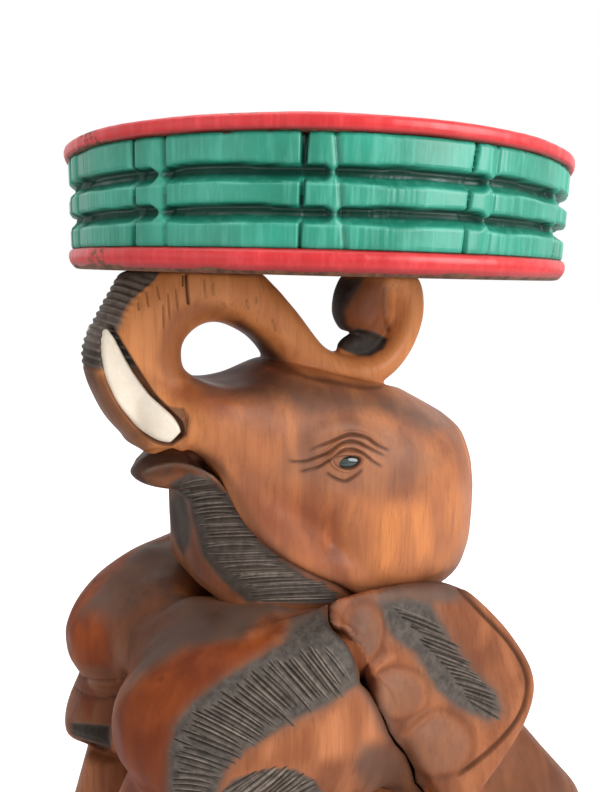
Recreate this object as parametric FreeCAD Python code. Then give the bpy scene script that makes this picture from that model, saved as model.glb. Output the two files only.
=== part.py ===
import FreeCAD
import Part
import math
import os

Vector = FreeCAD.Vector

# Carved elephant stool, millimetres.
# The origin lies on the floor under the centre of the round seat. The elephant faces -X,
# its left side is -Y, and its raised trunk carries the seat. Both sides mirror across Y.

# Heights that stack up from the floor to the seat
body_height = 200.0
head_height = 132.0
trunk_height = 68.0
neck_base = body_height
crown_level = neck_base + head_height
seat_underside = crown_level + trunk_height

# Seat: two red rims with a carved green band between them
seat_diameter = 280.0
bottom_board_thickness = 10.5
band_height = 43.5
top_board_thickness = 7.0
rim_round = 2.5
band_recess = 1.5
band_groove_depth = 6.0
band_bevel_depth = 2.5
band_row_count = 3
band_joint_count = 12
band_joint_width = 5.0
band_joint_depth = 3.5
band_joint_angle = -126.0
seat_pin_diameter = 10.0
seat_pin_circle = 190.0
seat_pin_count = 4
seat_pin_seat_share = 0.5

# Outlines of one carved row of the band, as shares of its height, from its lower edge
row_face_start_share = 0.10
row_face_end_share = 0.68
row_bevel_end_share = 0.86

# Trunk: a thick loop from the snout over the head, with its tip curled back under the seat
trunk_reach = 140.0
trunk_thickness = 54.0
trunk_width = 46.0
trunk_root = 88.0
crown_slope_share = 0.24
crown_rise_share = 0.12

# Head, with the cheeks at its widest
head_length = 240.0
head_width = 132.0
jaw_front_x_share = 0.396
jaw_front_z_share = 0.818
jaw_back_x_share = 0.0375
jaw_back_z_share = 0.106
eye_diameter = 11.0
eye_inset = 2.5
eye_x_share = 0.053
eye_z_share = 0.74

# Cheeks that hang beside the head
cheek_length = 134.0
cheek_height = 98.0
cheek_width = 82.0
cheek_spacing = 54.0
cheek_centre = 47.0

# Tusks, inlaid in the sides of the trunk's root
tusk_length = 64.0
tusk_width = 16.5
tusk_depth = 11.0
tusk_spacing = 39.0
tusk_foot_forward = 14.0
tusk_foot_rise_share = 0.894
tusk_arc_angle = 44.0
tusk_foot_angle = 230.0

# Neck with the throat, and the lower lip in front of it
neck_length = 164.0
neck_width = 112.0
lip_length = 62.0
lip_width = 60.0
lip_height = 20.0
lip_centre_share = 0.71

# Body: a sitting block with flat glue faces for the legs and ears
body_length = 236.0
body_width = 168.0
core_width = 132.0
chest_reach = 88.0

# Forelegs, folded, resting on the knees of the hind legs
knee_height = 97.0
foreleg_length = 182.0
foreleg_height = 116.0
foreleg_width = 74.0
foreleg_front = 142.0
shoulder_level = 174.0
forearm_thickness = 62.0
forearm_front = 113.0
paw_spacing = 100.0

# Hind legs, with the haunches behind and the feet in front
hind_leg_length = 278.0
hind_leg_height = 136.0
hind_leg_width = 84.0
haunch_spacing = 158.0
foot_length = 90.0
foot_width = 86.0
foot_spacing = 110.0
foot_centre = 112.0

# Ears, on the body behind the shoulders, turned outward over the haunches
ear_length = 142.0
ear_height = 146.0
ear_thickness = 35.0
ear_front = 34.0
ear_foot = 79.0
ear_flare_back_share = 0.49
ear_flare_down_share = 1.38
crease_top_x_share = 0.034
crease_top_z_share = 0.966
crease_foot_x_share = 0.458
crease_foot_z_share = 0.082

# Tail, let into the middle of the back
tail_thickness = 16.0
tail_root_share = 0.82
tail_tip_share = 0.16

# Wooden pins that hold the blocks together
pin_diameter = 12.0
slim_pin_diameter = 10.0
pin_depth = 18.0
slim_pin_depth = 13.0
seat_pin_depth = 30.0
fit_clearance = 0.25

# Where the pins stand, as shares of the length and height of the piece that they cross
trunk_seat_pin_shares = [-0.55, 0.42]
snout_pin_drop_share = 0.2
crown_pin_share = 0.2
jaw_pin_shares = [0.35, 0.75]
neck_pin_shares = [-0.35, -0.05]
ear_pin_shares = [(0.50, 0.35), (0.60, 0.65)]
foreleg_pin_shares = [(-0.75, 0.80), (-0.25, 0.70)]
hind_leg_pin_shares = [(-0.60, 0.40), (0.20, 0.45), (0.90, 0.40)]

# How square the rings of each form are: 2 is an ellipse, and more is squarer
trunk_fullness = 2.25
skull_fullness = 2.35
cheek_fullness = 3.0
tusk_fullness = 2.2
neck_fullness = 2.3
lip_fullness = 2.2
body_fullness = 2.4
arm_fullness = 2.2
forearm_fullness = 2.3
thigh_fullness = 2.3
shin_fullness = 2.4
tail_fullness = 2.0

ring_point_count = 16
seat_radius = seat_diameter / 2
seat_thickness = bottom_board_thickness + band_height + top_board_thickness
core_half = core_width / 2
cut_reach = 3 * (seat_underside + seat_thickness)

up = Vector(0, 0, 1)
down = Vector(0, 0, -1)
forward = Vector(-1, 0, 0)
backward = Vector(1, 0, 0)
aside = Vector(0, 1, 0)
parts = {}


def oval(centre, across, upward, half_across, half_up, fullness):
    """Closed smooth ring. A fullness of 2 is an ellipse, and more is squarer."""
    points = []
    for step in range(ring_point_count):
        angle = 2 * math.pi * step / ring_point_count
        cosine = math.cos(angle)
        sine = math.sin(angle)
        shift_across = math.copysign(abs(cosine) ** (2 / fullness), cosine) * half_across
        shift_up = math.copysign(abs(sine) ** (2 / fullness), sine) * half_up
        points.append(centre + across * shift_across + upward * shift_up)
    curve = Part.BSplineCurve()
    curve.interpolate(Points=points, PeriodicFlag=True)
    return Part.Wire([curve.toShape()])


def skin(rings):
    """Solid that runs smoothly through the rings and is flat at both ends."""
    return Part.makeLoft(rings, True, False)


def block_beyond(point, normal):
    """Large block with one face through the point, on the side that the normal shows."""
    block = Part.makeBox(cut_reach, cut_reach, cut_reach, Vector(-cut_reach / 2, -cut_reach / 2, 0))
    block.Placement = FreeCAD.Placement(point, FreeCAD.Rotation(up, normal))
    return block


def edge_normal(start, end, side):
    """Normal, on the wanted side, of a plane that holds the Y axis and the line from start to end."""
    normal = (end - start).cross(aside).normalize()
    return normal if normal.dot(side) > 0 else -normal


def rod(start, direction, length, diameter):
    return Part.makeCylinder(diameter / 2, length, start, direction)


def mirrored(shape):
    return shape.mirror(Vector(0, 0, 0), aside)


def one_solid(shape):
    """Largest solid of a result, without the sliver that a cut may leave beside it."""
    solids = sorted(shape.Solids, key=lambda solid: solid.Volume)
    return solids[-1]


def pin_row(names, pins, diameter, group):
    """Bores the named pieces for the pins and adds the pins as one group."""
    bores = [rod(start, direction, length, diameter + 2 * fit_clearance) for start, direction, length in pins]
    for name in names:
        parts[name] = one_solid(parts[name].cut(bores))
    rods = [rod(start, direction, length, diameter) for start, direction, length in pins]
    parts[group] = Part.makeCompound(rods)


def disc(level, thickness):
    plate = Part.makeCylinder(seat_radius, thickness, Vector(0, 0, level))
    rims = [edge for edge in plate.Edges if isinstance(edge.Curve, Part.Circle)]
    return plate.makeFillet(min(rim_round, thickness / 3), rims)


def carved_band(level):
    """Green band: three rows of bars, undercut below and bevelled above, with upright cuts."""
    face = seat_radius - band_recess
    groove = face - band_groove_depth
    bevel = face - band_bevel_depth
    row_height = band_height / band_row_count
    profile = [Vector(0, 0, level)]
    for row in range(band_row_count):
        foot = level + row * row_height
        profile.append(Vector(groove, 0, foot))
        profile.append(Vector(face, 0, foot + row_face_start_share * row_height))
        profile.append(Vector(face, 0, foot + row_face_end_share * row_height))
        profile.append(Vector(bevel, 0, foot + row_bevel_end_share * row_height))
    profile.append(Vector(groove, 0, level + band_height))
    profile.append(Vector(0, 0, level + band_height))
    profile.append(profile[0])
    band = Part.Face(Part.makePolygon(profile)).revolve(Vector(0, 0, 0), Vector(0, 0, 1), 360)
    notches = []
    for joint in range(band_joint_count):
        root = Vector(face - band_joint_depth, 0, level)
        left = Vector(face + band_joint_depth, band_joint_width, level)
        right = Vector(face + band_joint_depth, -band_joint_width, level)
        notch = Part.Face(Part.makePolygon([root, left, right, root])).extrude(Vector(0, 0, band_height))
        notch.rotate(Vector(0, 0, 0), Vector(0, 0, 1), band_joint_angle + joint * 360 / band_joint_count)
        notches.append(notch)
    return one_solid(band.cut(notches))


def make_seat():
    band_level = seat_underside + bottom_board_thickness
    top_level = band_level + band_height
    parts["seat_bottom_board"] = disc(seat_underside, bottom_board_thickness)
    parts["seat_carved_band"] = carved_band(band_level)
    parts["seat_top_board"] = disc(top_level, top_board_thickness)
    pins = []
    blind = bottom_board_thickness * seat_pin_seat_share
    length = blind + band_height + top_board_thickness * seat_pin_seat_share
    for pin in range(seat_pin_count):
        angle = 2 * math.pi * (pin + seat_pin_seat_share) / seat_pin_count
        x = seat_pin_circle / 2 * math.cos(angle)
        y = seat_pin_circle / 2 * math.sin(angle)
        pins.append((Vector(x, y, band_level - blind), up, length))
    names = ["seat_bottom_board", "seat_carved_band", "seat_top_board"]
    pin_row(names, pins, seat_pin_diameter, "seat_board_pins")


def crown_point(x):
    """Point on the sloping plane between the crown of the head and the trunk."""
    return Vector(x, 0, crown_level + crown_rise_share * trunk_height - crown_slope_share * x)


def make_trunk():
    """Trunk through rings across its centre line: place, half thickness and half width shares."""
    path_shares = [
        (-0.700, -0.39, 0.17, 0.26),
        (-0.710, -0.28, 0.29, 0.40),
        (-0.735, -0.09, 0.41, 0.47),
        (-0.775, 0.16, 0.48, 0.50),
        (-0.805, 0.43, 0.49, 0.50),
        (-0.735, 0.75, 0.47, 0.50),
        (-0.520, 0.93, 0.42, 0.48),
        (-0.315, 0.735, 0.31, 0.45),
        (-0.170, 0.47, 0.29, 0.43),
        (-0.020, 0.20, 0.26, 0.40),
        (0.150, 0.105, 0.22, 0.37),
        (0.320, 0.135, 0.205, 0.36),
        (0.435, 0.31, 0.21, 0.36),
        (0.495, 0.55, 0.22, 0.36),
        (0.490, 0.84, 0.235, 0.36),
        (0.371, 1.03, 0.25, 0.36),
        (0.257, 0.87, 0.27, 0.35),
        (0.228, 0.65, 0.27, 0.33),
        (0.228, 0.49, 0.16, 0.20),
    ]
    places = [Vector(x * trunk_reach, 0, crown_level + z * trunk_height) for x, z, _, _ in path_shares]
    rings = []
    for index, (_, _, thickness_share, width_share) in enumerate(path_shares):
        before = places[max(index - 1, 0)]
        after = places[min(index + 1, len(places) - 1)]
        across = (after - before).cross(aside).normalize()
        half_thickness = thickness_share * trunk_thickness
        half_width = width_share * trunk_width
        rings.append(oval(places[index], across, aside, half_thickness, half_width, trunk_fullness))
    trunk = skin(rings)
    under_crown = block_beyond(crown_point(0), edge_normal(crown_point(0), crown_point(head_length), down))
    behind_root = block_beyond(Vector(-trunk_root, 0, 0), backward)
    over_seat = block_beyond(Vector(0, 0, seat_underside), up)
    parts["trunk"] = one_solid(trunk.cut(under_crown.common(behind_root)).cut(over_seat))


def jaw_plane():
    """Two points of the plane along the jaw line, between the head and the throat."""
    front = Vector(-jaw_front_x_share * head_length, 0, neck_base + jaw_front_z_share * head_height)
    back = Vector(jaw_back_x_share * head_length, 0, neck_base + jaw_back_z_share * head_height)
    return front, back


def ring_row_along_x(rows, length, base, height, spacing, width, fullness):
    """Rings across X from shares: place, centre height, half height, centre aside, half width."""
    rings = []
    for x, z, half_z, y, half_y in rows:
        centre = Vector(x * length, -y * spacing, base + z * height)
        rings.append(oval(centre, aside, up, half_y * width, half_z * height, fullness))
    return skin(rings)


def ring_row_along_z(rows, base, height, length, offset, width, fullness):
    """Rings across Z from shares: height, centre in X, half length, half width."""
    rings = []
    for z, x, half_x, half_y in rows:
        centre = Vector(x * length, -offset, base + z * height)
        rings.append(oval(centre, backward, aside, half_x * length, half_y * width, fullness))
    return skin(rings)


def make_head():
    head_shares = [
        (-0.458, 0.909, 0.144, 0, 0.167),
        (-0.396, 0.924, 0.182, 0, 0.227),
        (-0.312, 0.875, 0.239, 0, 0.273),
        (-0.208, 0.780, 0.341, 0, 0.326),
        (-0.083, 0.686, 0.443, 0, 0.394),
        (0.042, 0.590, 0.500, 0, 0.455),
        (0.167, 0.520, 0.500, 0, 0.498),
        (0.292, 0.463, 0.452, 0, 0.492),
        (0.392, 0.422, 0.400, 0, 0.425),
        (0.462, 0.405, 0.305, 0, 0.330),
        (0.498, 0.400, 0.155, 0, 0.170),
    ]
    cheek_shares = [
        (-0.490, 0.50, 0.086, 0.5, 0.086),
        (-0.425, 0.50, 0.263, 0.5, 0.263),
        (-0.250, 0.50, 0.433, 0.5, 0.433),
        (0.000, 0.50, 0.500, 0.5, 0.500),
        (0.250, 0.50, 0.433, 0.5, 0.433),
        (0.425, 0.50, 0.263, 0.5, 0.263),
        (0.490, 0.50, 0.086, 0.5, 0.086),
    ]
    skull = ring_row_along_x(head_shares, head_length, neck_base, head_height, 0, head_width, skull_fullness)
    cheek_base = neck_base + 2 * fit_clearance
    cheek = ring_row_along_x(
        cheek_shares, cheek_length, cheek_base, cheek_height, cheek_spacing, cheek_width, cheek_fullness)
    cheek.translate(Vector(cheek_centre, 0, 0))
    head = skull.fuse([cheek, mirrored(cheek)])
    over_crown = block_beyond(crown_point(0), edge_normal(crown_point(0), crown_point(head_length), up))
    before_root = block_beyond(Vector(-trunk_root, 0, 0), forward)
    front, back = jaw_plane()
    under_jaw = block_beyond(front, edge_normal(front, back, down))
    head = head.cut([over_crown, before_root, under_jaw])
    socket_z = neck_base + eye_z_share * head_height
    eye_x = -eye_x_share * head_length
    eye_y = head_width * head_shares[4][4] - eye_inset
    for side, name in [(-1, "eye_left"), (1, "eye_right")]:
        centre = Vector(eye_x, side * eye_y, socket_z)
        head = head.cut(Part.makeSphere(eye_diameter / 2 + fit_clearance, centre))
        parts[name] = Part.makeSphere(eye_diameter / 2, centre)
    parts["head"] = one_solid(head)


def tusk(extra):
    """Banana-shaped tusk on an arc beside the trunk's root, enlarged by extra all round."""
    tusk_shares = [
        (-0.04, 0.50), (0.05, 0.88), (0.20, 1.0), (0.45, 0.98), (0.65, 0.84), (0.85, 0.54), (1.0, 0.20),
    ]
    arc_radius = tusk_length / math.radians(tusk_arc_angle)
    foot = Vector(-trunk_root - tusk_foot_forward, 0, neck_base + tusk_foot_rise_share * head_height)
    to_foot = math.radians(tusk_foot_angle)
    hub = foot - Vector(math.cos(to_foot), 0, math.sin(to_foot)) * arc_radius
    rings = []
    for along, girth in tusk_shares:
        angle = math.radians(tusk_foot_angle - along * tusk_arc_angle)
        outward = Vector(math.cos(angle), 0, math.sin(angle))
        centre = hub + outward * arc_radius - Vector(0, tusk_spacing / 2, 0)
        half_width = girth * tusk_width / 2 + extra
        half_depth = girth * tusk_depth / 2 + extra
        rings.append(oval(centre, outward, aside, half_width, half_depth, tusk_fullness))
    return skin(rings)


def make_tusks():
    left = tusk(0)
    groove = tusk(fit_clearance)
    parts["tusk_left"] = left
    parts["tusk_right"] = mirrored(left)
    parts["trunk"] = one_solid(parts["trunk"].cut([groove, mirrored(groove)]))


def make_neck():
    neck_shares = [
        (0.00, -0.037, 0.500, 0.500),
        (0.265, -0.061, 0.488, 0.464),
        (0.530, -0.073, 0.488, 0.402),
        (0.830, -0.122, 0.451, 0.339),
    ]
    lip_shares = [
        (-0.44, 0.00, 0.16, 0, 0.12),
        (-0.36, 0.00, 0.34, 0, 0.28),
        (-0.18, -0.04, 0.46, 0, 0.42),
        (0.10, -0.08, 0.50, 0, 0.50),
        (0.50, -0.12, 0.46, 0, 0.50),
    ]
    neck = ring_row_along_z(neck_shares, neck_base, head_height, neck_length, 0, neck_width, neck_fullness)
    neck = neck.cut(block_beyond(Vector(-chest_reach, 0, 0), forward))
    lip_level = neck_base + lip_centre_share * head_height
    lip = ring_row_along_x(lip_shares, lip_length, lip_level, lip_height, 0, lip_width, lip_fullness)
    lip.translate(Vector(-chest_reach, 0, 0))
    front, back = jaw_plane()
    over_jaw = block_beyond(front, edge_normal(front, back, up))
    parts["neck_and_jaw"] = one_solid(neck.fuse(lip).cut(over_jaw))


def core_block():
    """Space of the body between the flat glue faces, kept clear by legs and ears."""
    return Part.makeBox(cut_reach, core_width, cut_reach, Vector(-chest_reach, -core_half, -cut_reach / 2))


def make_body():
    body_shares = [
        (0.00, 0.085, 0.445, 0.476),
        (0.20, 0.106, 0.500, 0.524),
        (0.45, 0.093, 0.475, 0.500),
        (0.70, 0.042, 0.432, 0.452),
        (0.90, 0.000, 0.394, 0.405),
        (1.00, -0.017, 0.375, 0.381),
    ]
    body = ring_row_along_z(body_shares, 0, body_height, body_length, 0, body_width, body_fullness)
    parts["body"] = one_solid(body.common(core_block()))


def crease_points():
    """Two points of the crease between a foreleg and the ear behind it."""
    top_x = -ear_front + crease_top_x_share * ear_length
    top_z = ear_foot + crease_top_z_share * ear_height
    foot_x = -ear_front + crease_foot_x_share * ear_length
    foot_z = ear_foot + crease_foot_z_share * ear_height
    return Vector(top_x, 0, top_z), Vector(foot_x, 0, foot_z)


def crease_x(level):
    top, foot = crease_points()
    return foot.x + (top.x - foot.x) * (level - foot.z) / (top.z - foot.z)


def ear(extra):
    """Ear as a flap behind the crease, thicker low down and at the back, with a rounded rim."""
    outline_shares = [
        (-0.10, 0.95), (-0.15, 0.59), (0.05, 0.08), (0.38, 0.06), (0.65, 0.19), (0.80, 0.28),
        (0.93, 0.39), (0.99, 0.50), (0.94, 0.64), (0.85, 0.77), (0.68, 0.92), (0.30, 1.00),
    ]
    layer_shares = [(0.0, 1.0), (0.50, 1.0), (0.85, 0.98), (1.0, 0.88)]
    rings = []
    for depth, spread in layer_shares:
        points = []
        for x, z in outline_shares:
            backward_share = (x - 0.5) * spread
            upward_share = (z - 0.5) * spread
            shift_x = backward_share * (ear_length + 2 * extra)
            shift_z = upward_share * (ear_height + 2 * extra)
            swell = 1 + ear_flare_back_share * backward_share - ear_flare_down_share * upward_share
            depth_y = -core_half - depth * (ear_thickness * swell + extra)
            centre = Vector(ear_length / 2 - ear_front, depth_y, ear_foot + ear_height / 2)
            points.append(centre + backward * shift_x + up * shift_z)
        curve = Part.BSplineCurve()
        curve.interpolate(Points=points, PeriodicFlag=True)
        rings.append(Part.Wire([curve.toShape()]))
    top, foot = crease_points()
    before_crease = block_beyond(top, edge_normal(top, foot, forward))
    return one_solid(skin(rings).cut(before_crease))


def make_ears():
    left = ear(0)
    parts["ear_left"] = left
    parts["ear_right"] = mirrored(left)


def make_forelegs():
    arm_shares = [
        (1.00, -0.40, 0.24, 0.72, 0.22),
        (0.86, -0.21, 0.50, 0.74, 0.30),
        (0.69, -0.09, 0.52, 0.74, 0.35),
        (0.47, -0.04, 0.45, 0.68, 0.45),
        (0.28, 0.01, 0.36, 0.57, 0.50),
        (0.145, -0.01, 0.32, 0.51, 0.46),
        (0.045, -0.01, 0.21, 0.48, 0.30),
        (0.00, 0.00, 0.08, 0.48, 0.12),
    ]
    forearm_shares = [
        (1.00, 0.06, 0.48, 0.48),
        (0.57, 0.05, 0.42, 0.44),
        (0.36, 0.00, 0.48, 0.50),
        (0.16, -0.02, 0.50, 0.52),
        (0.00, 0.00, 0.45, 0.47),
    ]
    arm = ring_row_along_x(
        arm_shares, foreleg_length, shoulder_level, foreleg_height, paw_spacing, foreleg_width, arm_fullness)
    arm.translate(Vector(-foreleg_front, 0, 0))
    forearm_length = shoulder_level - knee_height
    forearm = ring_row_along_z(forearm_shares, knee_height, forearm_length, forearm_thickness,
                               paw_spacing / 2, forearm_thickness, forearm_fullness)
    forearm.translate(Vector(-forearm_front, 0, 0))
    top, foot = crease_points()
    behind_crease = block_beyond(top, edge_normal(top, foot, backward))
    under_knee = block_beyond(Vector(0, 0, knee_height), down)
    left = one_solid(arm.fuse(forearm).cut([core_block(), behind_crease, under_knee]))
    parts["foreleg_left"] = left
    parts["foreleg_right"] = mirrored(left)


def make_hind_legs():
    thigh_shares = [
        (1.00, 0.42, 0.21, 0.44, 0.17),
        (0.96, 0.38, 0.30, 0.52, 0.40),
        (0.86, 0.425, 0.425, 0.515, 0.478),
        (0.72, 0.453, 0.453, 0.512, 0.480),
        (0.54, 0.432, 0.432, 0.493, 0.500),
        (0.31, 0.37, 0.37, 0.415, 0.465),
        (0.15, 0.35, 0.35, 0.355, 0.45),
        (0.00, 0.33, 0.33, 0.335, 0.43),
    ]
    shin_shares = [
        (0.00, -0.01, 0.48, 0.48),
        (0.15, -0.01, 0.50, 0.50),
        (0.52, 0.00, 0.43, 0.45),
        (1.10, 0.00, 0.36, 0.39),
    ]
    thigh = ring_row_along_x(
        thigh_shares, hind_leg_length, 0, hind_leg_height, haunch_spacing, hind_leg_width, thigh_fullness)
    thigh.translate(Vector(-foot_centre, 0, 0))
    shin = ring_row_along_z(
        shin_shares, 0, knee_height, foot_length, foot_spacing / 2, foot_width, shin_fullness)
    shin.translate(Vector(-foot_centre, 0, 0))
    over_knee = block_beyond(Vector(0, 0, knee_height), up)
    before_crease = block_beyond(Vector(crease_x(knee_height), 0, 0), forward)
    under_floor = block_beyond(Vector(0, 0, 0), down)
    cutters = [core_block(), over_knee.common(before_crease), under_floor, ear(fit_clearance)]
    left = one_solid(thigh.fuse(shin).cut(cutters))
    parts["hind_leg_left"] = left
    parts["hind_leg_right"] = mirrored(left)


def back_point(share):
    """Point on the middle of the back at a share of the body's height."""
    back_shares = [(0.0, 0.530), (0.20, 0.606), (0.45, 0.568), (0.70, 0.474), (0.90, 0.394)]
    for (low, low_x), (high, high_x) in zip(back_shares, back_shares[1:]):
        if share <= high:
            x = low_x + (high_x - low_x) * (share - low) / (high - low)
            return Vector(x * body_length, 0, share * body_height)
    return Vector(back_shares[-1][1] * body_length, 0, share * body_height)


def tail(extra):
    girth_shares = [0.55, 0.85, 1.0, 0.92, 0.80, 0.72, 0.95, 1.0, 0.45]
    rings = []
    last = len(girth_shares) - 1
    for index, girth in enumerate(girth_shares):
        share = tail_root_share + (tail_tip_share - tail_root_share) * index / last
        half = girth * tail_thickness / 2 + extra
        centre = back_point(share)
        rings.append(oval(centre, backward, aside, half, half, tail_fullness))
    return skin(rings)


def make_tail():
    parts["tail"] = tail(0)
    parts["body"] = one_solid(parts["body"].cut(tail(fit_clearance)))


def make_pins():
    """Pins across every glue face, half in each piece."""
    seat_pins = []
    for place_share in trunk_seat_pin_shares:
        start = Vector(place_share * trunk_reach, 0, seat_underside - pin_depth)
        seat_pins.append((start, up, pin_depth + seat_pin_depth))
    pin_row(["trunk", "seat_bottom_board", "seat_carved_band"], seat_pins, pin_diameter, "trunk_seat_pins")

    snout = Vector(-trunk_root + pin_depth, 0, crown_level - trunk_thickness * snout_pin_drop_share)
    rest = crown_point(trunk_reach * crown_pin_share) - up * pin_depth
    crown_pins = [(snout, forward, 2 * pin_depth), (rest, up, pin_depth + slim_pin_depth)]
    pin_row(["trunk", "head"], crown_pins, slim_pin_diameter, "trunk_head_pins")

    front, back = jaw_plane()
    across_jaw = edge_normal(front, back, up)
    jaw_pins = []
    for share in jaw_pin_shares:
        middle = front + (back - front) * share
        jaw_pins.append((middle - across_jaw * pin_depth, across_jaw, 2 * pin_depth))
    pin_row(["head", "neck_and_jaw"], jaw_pins, pin_diameter, "head_neck_pins")

    neck_pins = []
    for share in neck_pin_shares:
        start = Vector(share * neck_length, 0, neck_base - pin_depth)
        neck_pins.append((start, up, 2 * pin_depth))
    pin_row(["neck_and_jaw", "body"], neck_pins, pin_diameter, "neck_body_pins")

    side_pins("ear", ear_pin_shares, -ear_front, ear_length, ear_foot, ear_height)
    side_pins("foreleg", foreleg_pin_shares, 0, chest_reach, knee_height, shoulder_level - knee_height)
    side_pins("hind_leg", hind_leg_pin_shares, 0, chest_reach, 0, knee_height)


def side_pins(piece, pin_shares, start_x, length, base, height):
    """Pins through the flat sides of the body into the left and right piece."""
    names = ["body", piece + "_left", piece + "_right"]
    pins = []
    for side in (-1, 1):
        for x_share, z_share in pin_shares:
            x = start_x + x_share * length
            start = Vector(x, side * (core_half - pin_depth), base + z_share * height)
            pins.append((start, Vector(0, side, 0), pin_depth + slim_pin_depth))
    pin_row(names, pins, slim_pin_diameter, piece + "_pins")


def main():
    make_seat()
    make_trunk()
    make_head()
    make_tusks()
    make_neck()
    make_body()
    make_ears()
    make_forelegs()
    make_hind_legs()
    make_tail()
    make_pins()
    os.makedirs("parts", exist_ok=True)
    for name, shape in parts.items():
        shape.exportStep(os.path.join("parts", name + ".step"))
        print(name, "valid", shape.isValid(), "solids", len(shape.Solids), "volume", round(shape.Volume))


main()
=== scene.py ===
import functools
import math

import bpy
import numpy as np
import openvdb as vdb
from mathutils import Matrix, Vector


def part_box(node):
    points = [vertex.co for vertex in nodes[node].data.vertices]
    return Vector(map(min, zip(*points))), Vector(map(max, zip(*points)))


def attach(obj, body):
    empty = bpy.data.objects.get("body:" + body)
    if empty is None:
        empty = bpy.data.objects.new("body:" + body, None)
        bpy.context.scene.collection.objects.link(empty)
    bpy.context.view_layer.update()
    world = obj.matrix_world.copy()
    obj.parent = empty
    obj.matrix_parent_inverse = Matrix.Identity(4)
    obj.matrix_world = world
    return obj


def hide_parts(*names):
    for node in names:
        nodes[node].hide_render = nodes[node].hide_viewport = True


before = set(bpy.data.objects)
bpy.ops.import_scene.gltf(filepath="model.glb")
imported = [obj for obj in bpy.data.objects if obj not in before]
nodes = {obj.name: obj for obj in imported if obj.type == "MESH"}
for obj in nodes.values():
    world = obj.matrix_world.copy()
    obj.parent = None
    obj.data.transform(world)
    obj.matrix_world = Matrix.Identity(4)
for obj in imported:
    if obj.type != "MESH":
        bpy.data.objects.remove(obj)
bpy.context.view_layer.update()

# Lengths are in mm and angles in degrees, up to the line that makes a mesh
MM = 0.001

# The photograph's camera
EYE_POINT = np.array((-220.8, -327.3, 401.7))
HEADING = (0.5446, 0.8387)
LOOK_DOWN = 11.0
ROLL = 1.43
LENS = 29.18
SENSOR = 36.0
PICTURE = (600, 792)


def camera_axes():
    """The camera's right, up and forward directions."""
    down, roll = math.radians(LOOK_DOWN), math.radians(ROLL)
    forward = np.array((HEADING[0] * math.cos(down), HEADING[1] * math.cos(down), -math.sin(down)))
    right = np.array((HEADING[1], -HEADING[0], 0.0))
    up = np.cross(right, forward)
    return right * math.cos(roll) + up * math.sin(roll), up * math.cos(roll) - right * math.sin(roll), forward


RIGHT, UP, FORWARD = camera_axes()


def picture_place(points, near=True):
    """Where points come in the picture. The far side is folded onto the near one if near is set."""
    p = points.copy()
    if near:
        p[:, 1] = -np.abs(p[:, 1])
    p = p - EYE_POINT
    depth = np.maximum(p @ FORWARD, 1.0)
    scale = PICTURE[1] * LENS / SENSOR / depth
    return np.stack((PICTURE[0] / 2 + p @ RIGHT * scale, PICTURE[1] / 2 - p @ UP * scale), 1)


def facing(points, normals, near=True):
    """How squarely a surface faces the camera, from 0 at its edge."""
    p, n = points.copy(), normals.copy()
    if near:
        flip = p[:, 1] > 0
        p[flip, 1] *= -1
        n[flip, 1] *= -1
    away = EYE_POINT - p
    away /= np.linalg.norm(away, axis=1, keepdims=True)
    return (away * n).sum(1)


def picture_plane(x, y, z, a, b, near=True):
    """Distance from the plane through the camera and two places in the picture, for both sides alike.

    It is positive on the picture's right where the way from a to b runs down."""
    rays = [FORWARD * (PICTURE[1] * LENS / SENSOR) + RIGHT * (u - PICTURE[0] / 2) + UP * (PICTURE[1] / 2 - v)
            for u, v in (a, b)]
    n = np.cross(rays[1], rays[0])
    n /= np.linalg.norm(n)
    side = -np.abs(y) if near else np.abs(y)
    return n[0] * (x - EYE_POINT[0]) + n[1] * (side - EYE_POINT[1]) + n[2] * (z - EYE_POINT[2])


def step(low, high, x):
    """Rises smoothly from 0 at low to 1 at high."""
    t = np.clip((x - low) / (high - low), 0, 1)
    return t * t * (3 - 2 * t)


def line_gap(q, a, b):
    """Distance of points q from the line a to b, and the share of the way along it."""
    d = b - a
    t = np.clip(((q - a) @ d) / max(d @ d, 1e-9), 0, 1)
    return np.linalg.norm(q - (a + t[:, None] * d), axis=1), t


def path_gap(q, path):
    """Distance of points q from a path of straight runs, and the share of the way along it."""
    path = np.array(path, float)
    runs = np.linalg.norm(np.diff(path, axis=0), axis=1)
    ends = np.concatenate(((0,), np.cumsum(runs))) / runs.sum()
    best, along = np.full(len(q), 1e9), np.zeros(len(q))
    for i in range(len(path) - 1):
        gap, t = line_gap(q, path[i], path[i + 1])
        better = gap < best
        best[better] = gap[better]
        along[better] = (ends[i] + t * (ends[i + 1] - ends[i]))[better]
    return best, along


def rounded(path):
    """A path with its corners cut off twice."""
    path = np.array(path, float)
    for _ in range(2):
        if len(path) > 2:
            a, b = path[:-1], path[1:]
            middle = np.stack((0.75 * a + 0.25 * b, 0.25 * a + 0.75 * b), 1).reshape(-1, 2)
            path = np.concatenate((path[:1], middle[1:-1], path[-1:]))
    return path


def region(q, outline, soft):
    """1 inside a closed outline and 0 outside it, changing over the width soft."""
    path = np.array(list(outline) + [outline[0]], float)
    gap, _ = path_gap(q, path)
    inside = np.zeros(len(q), bool)
    for (x0, y0), (x1, y1) in zip(path[:-1], path[1:]):
        if y0 != y1:
            crosses = ((y0 > q[:, 1]) != (y1 > q[:, 1])) & (
                q[:, 0] < (x1 - x0) * (q[:, 1] - y0) / (y1 - y0) + x0)
            inside ^= crosses
    return step(-soft, soft, np.where(inside, gap, -gap))


def along_path(path, share):
    """The point at a share of the way along a path."""
    path = np.array(path, float)
    runs = np.linalg.norm(np.diff(path, axis=0), axis=1)
    ends = np.concatenate(((0,), np.cumsum(runs))) / runs.sum()
    return np.array([np.interp(share, ends, path[:, i]) for i in range(2)])


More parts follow.
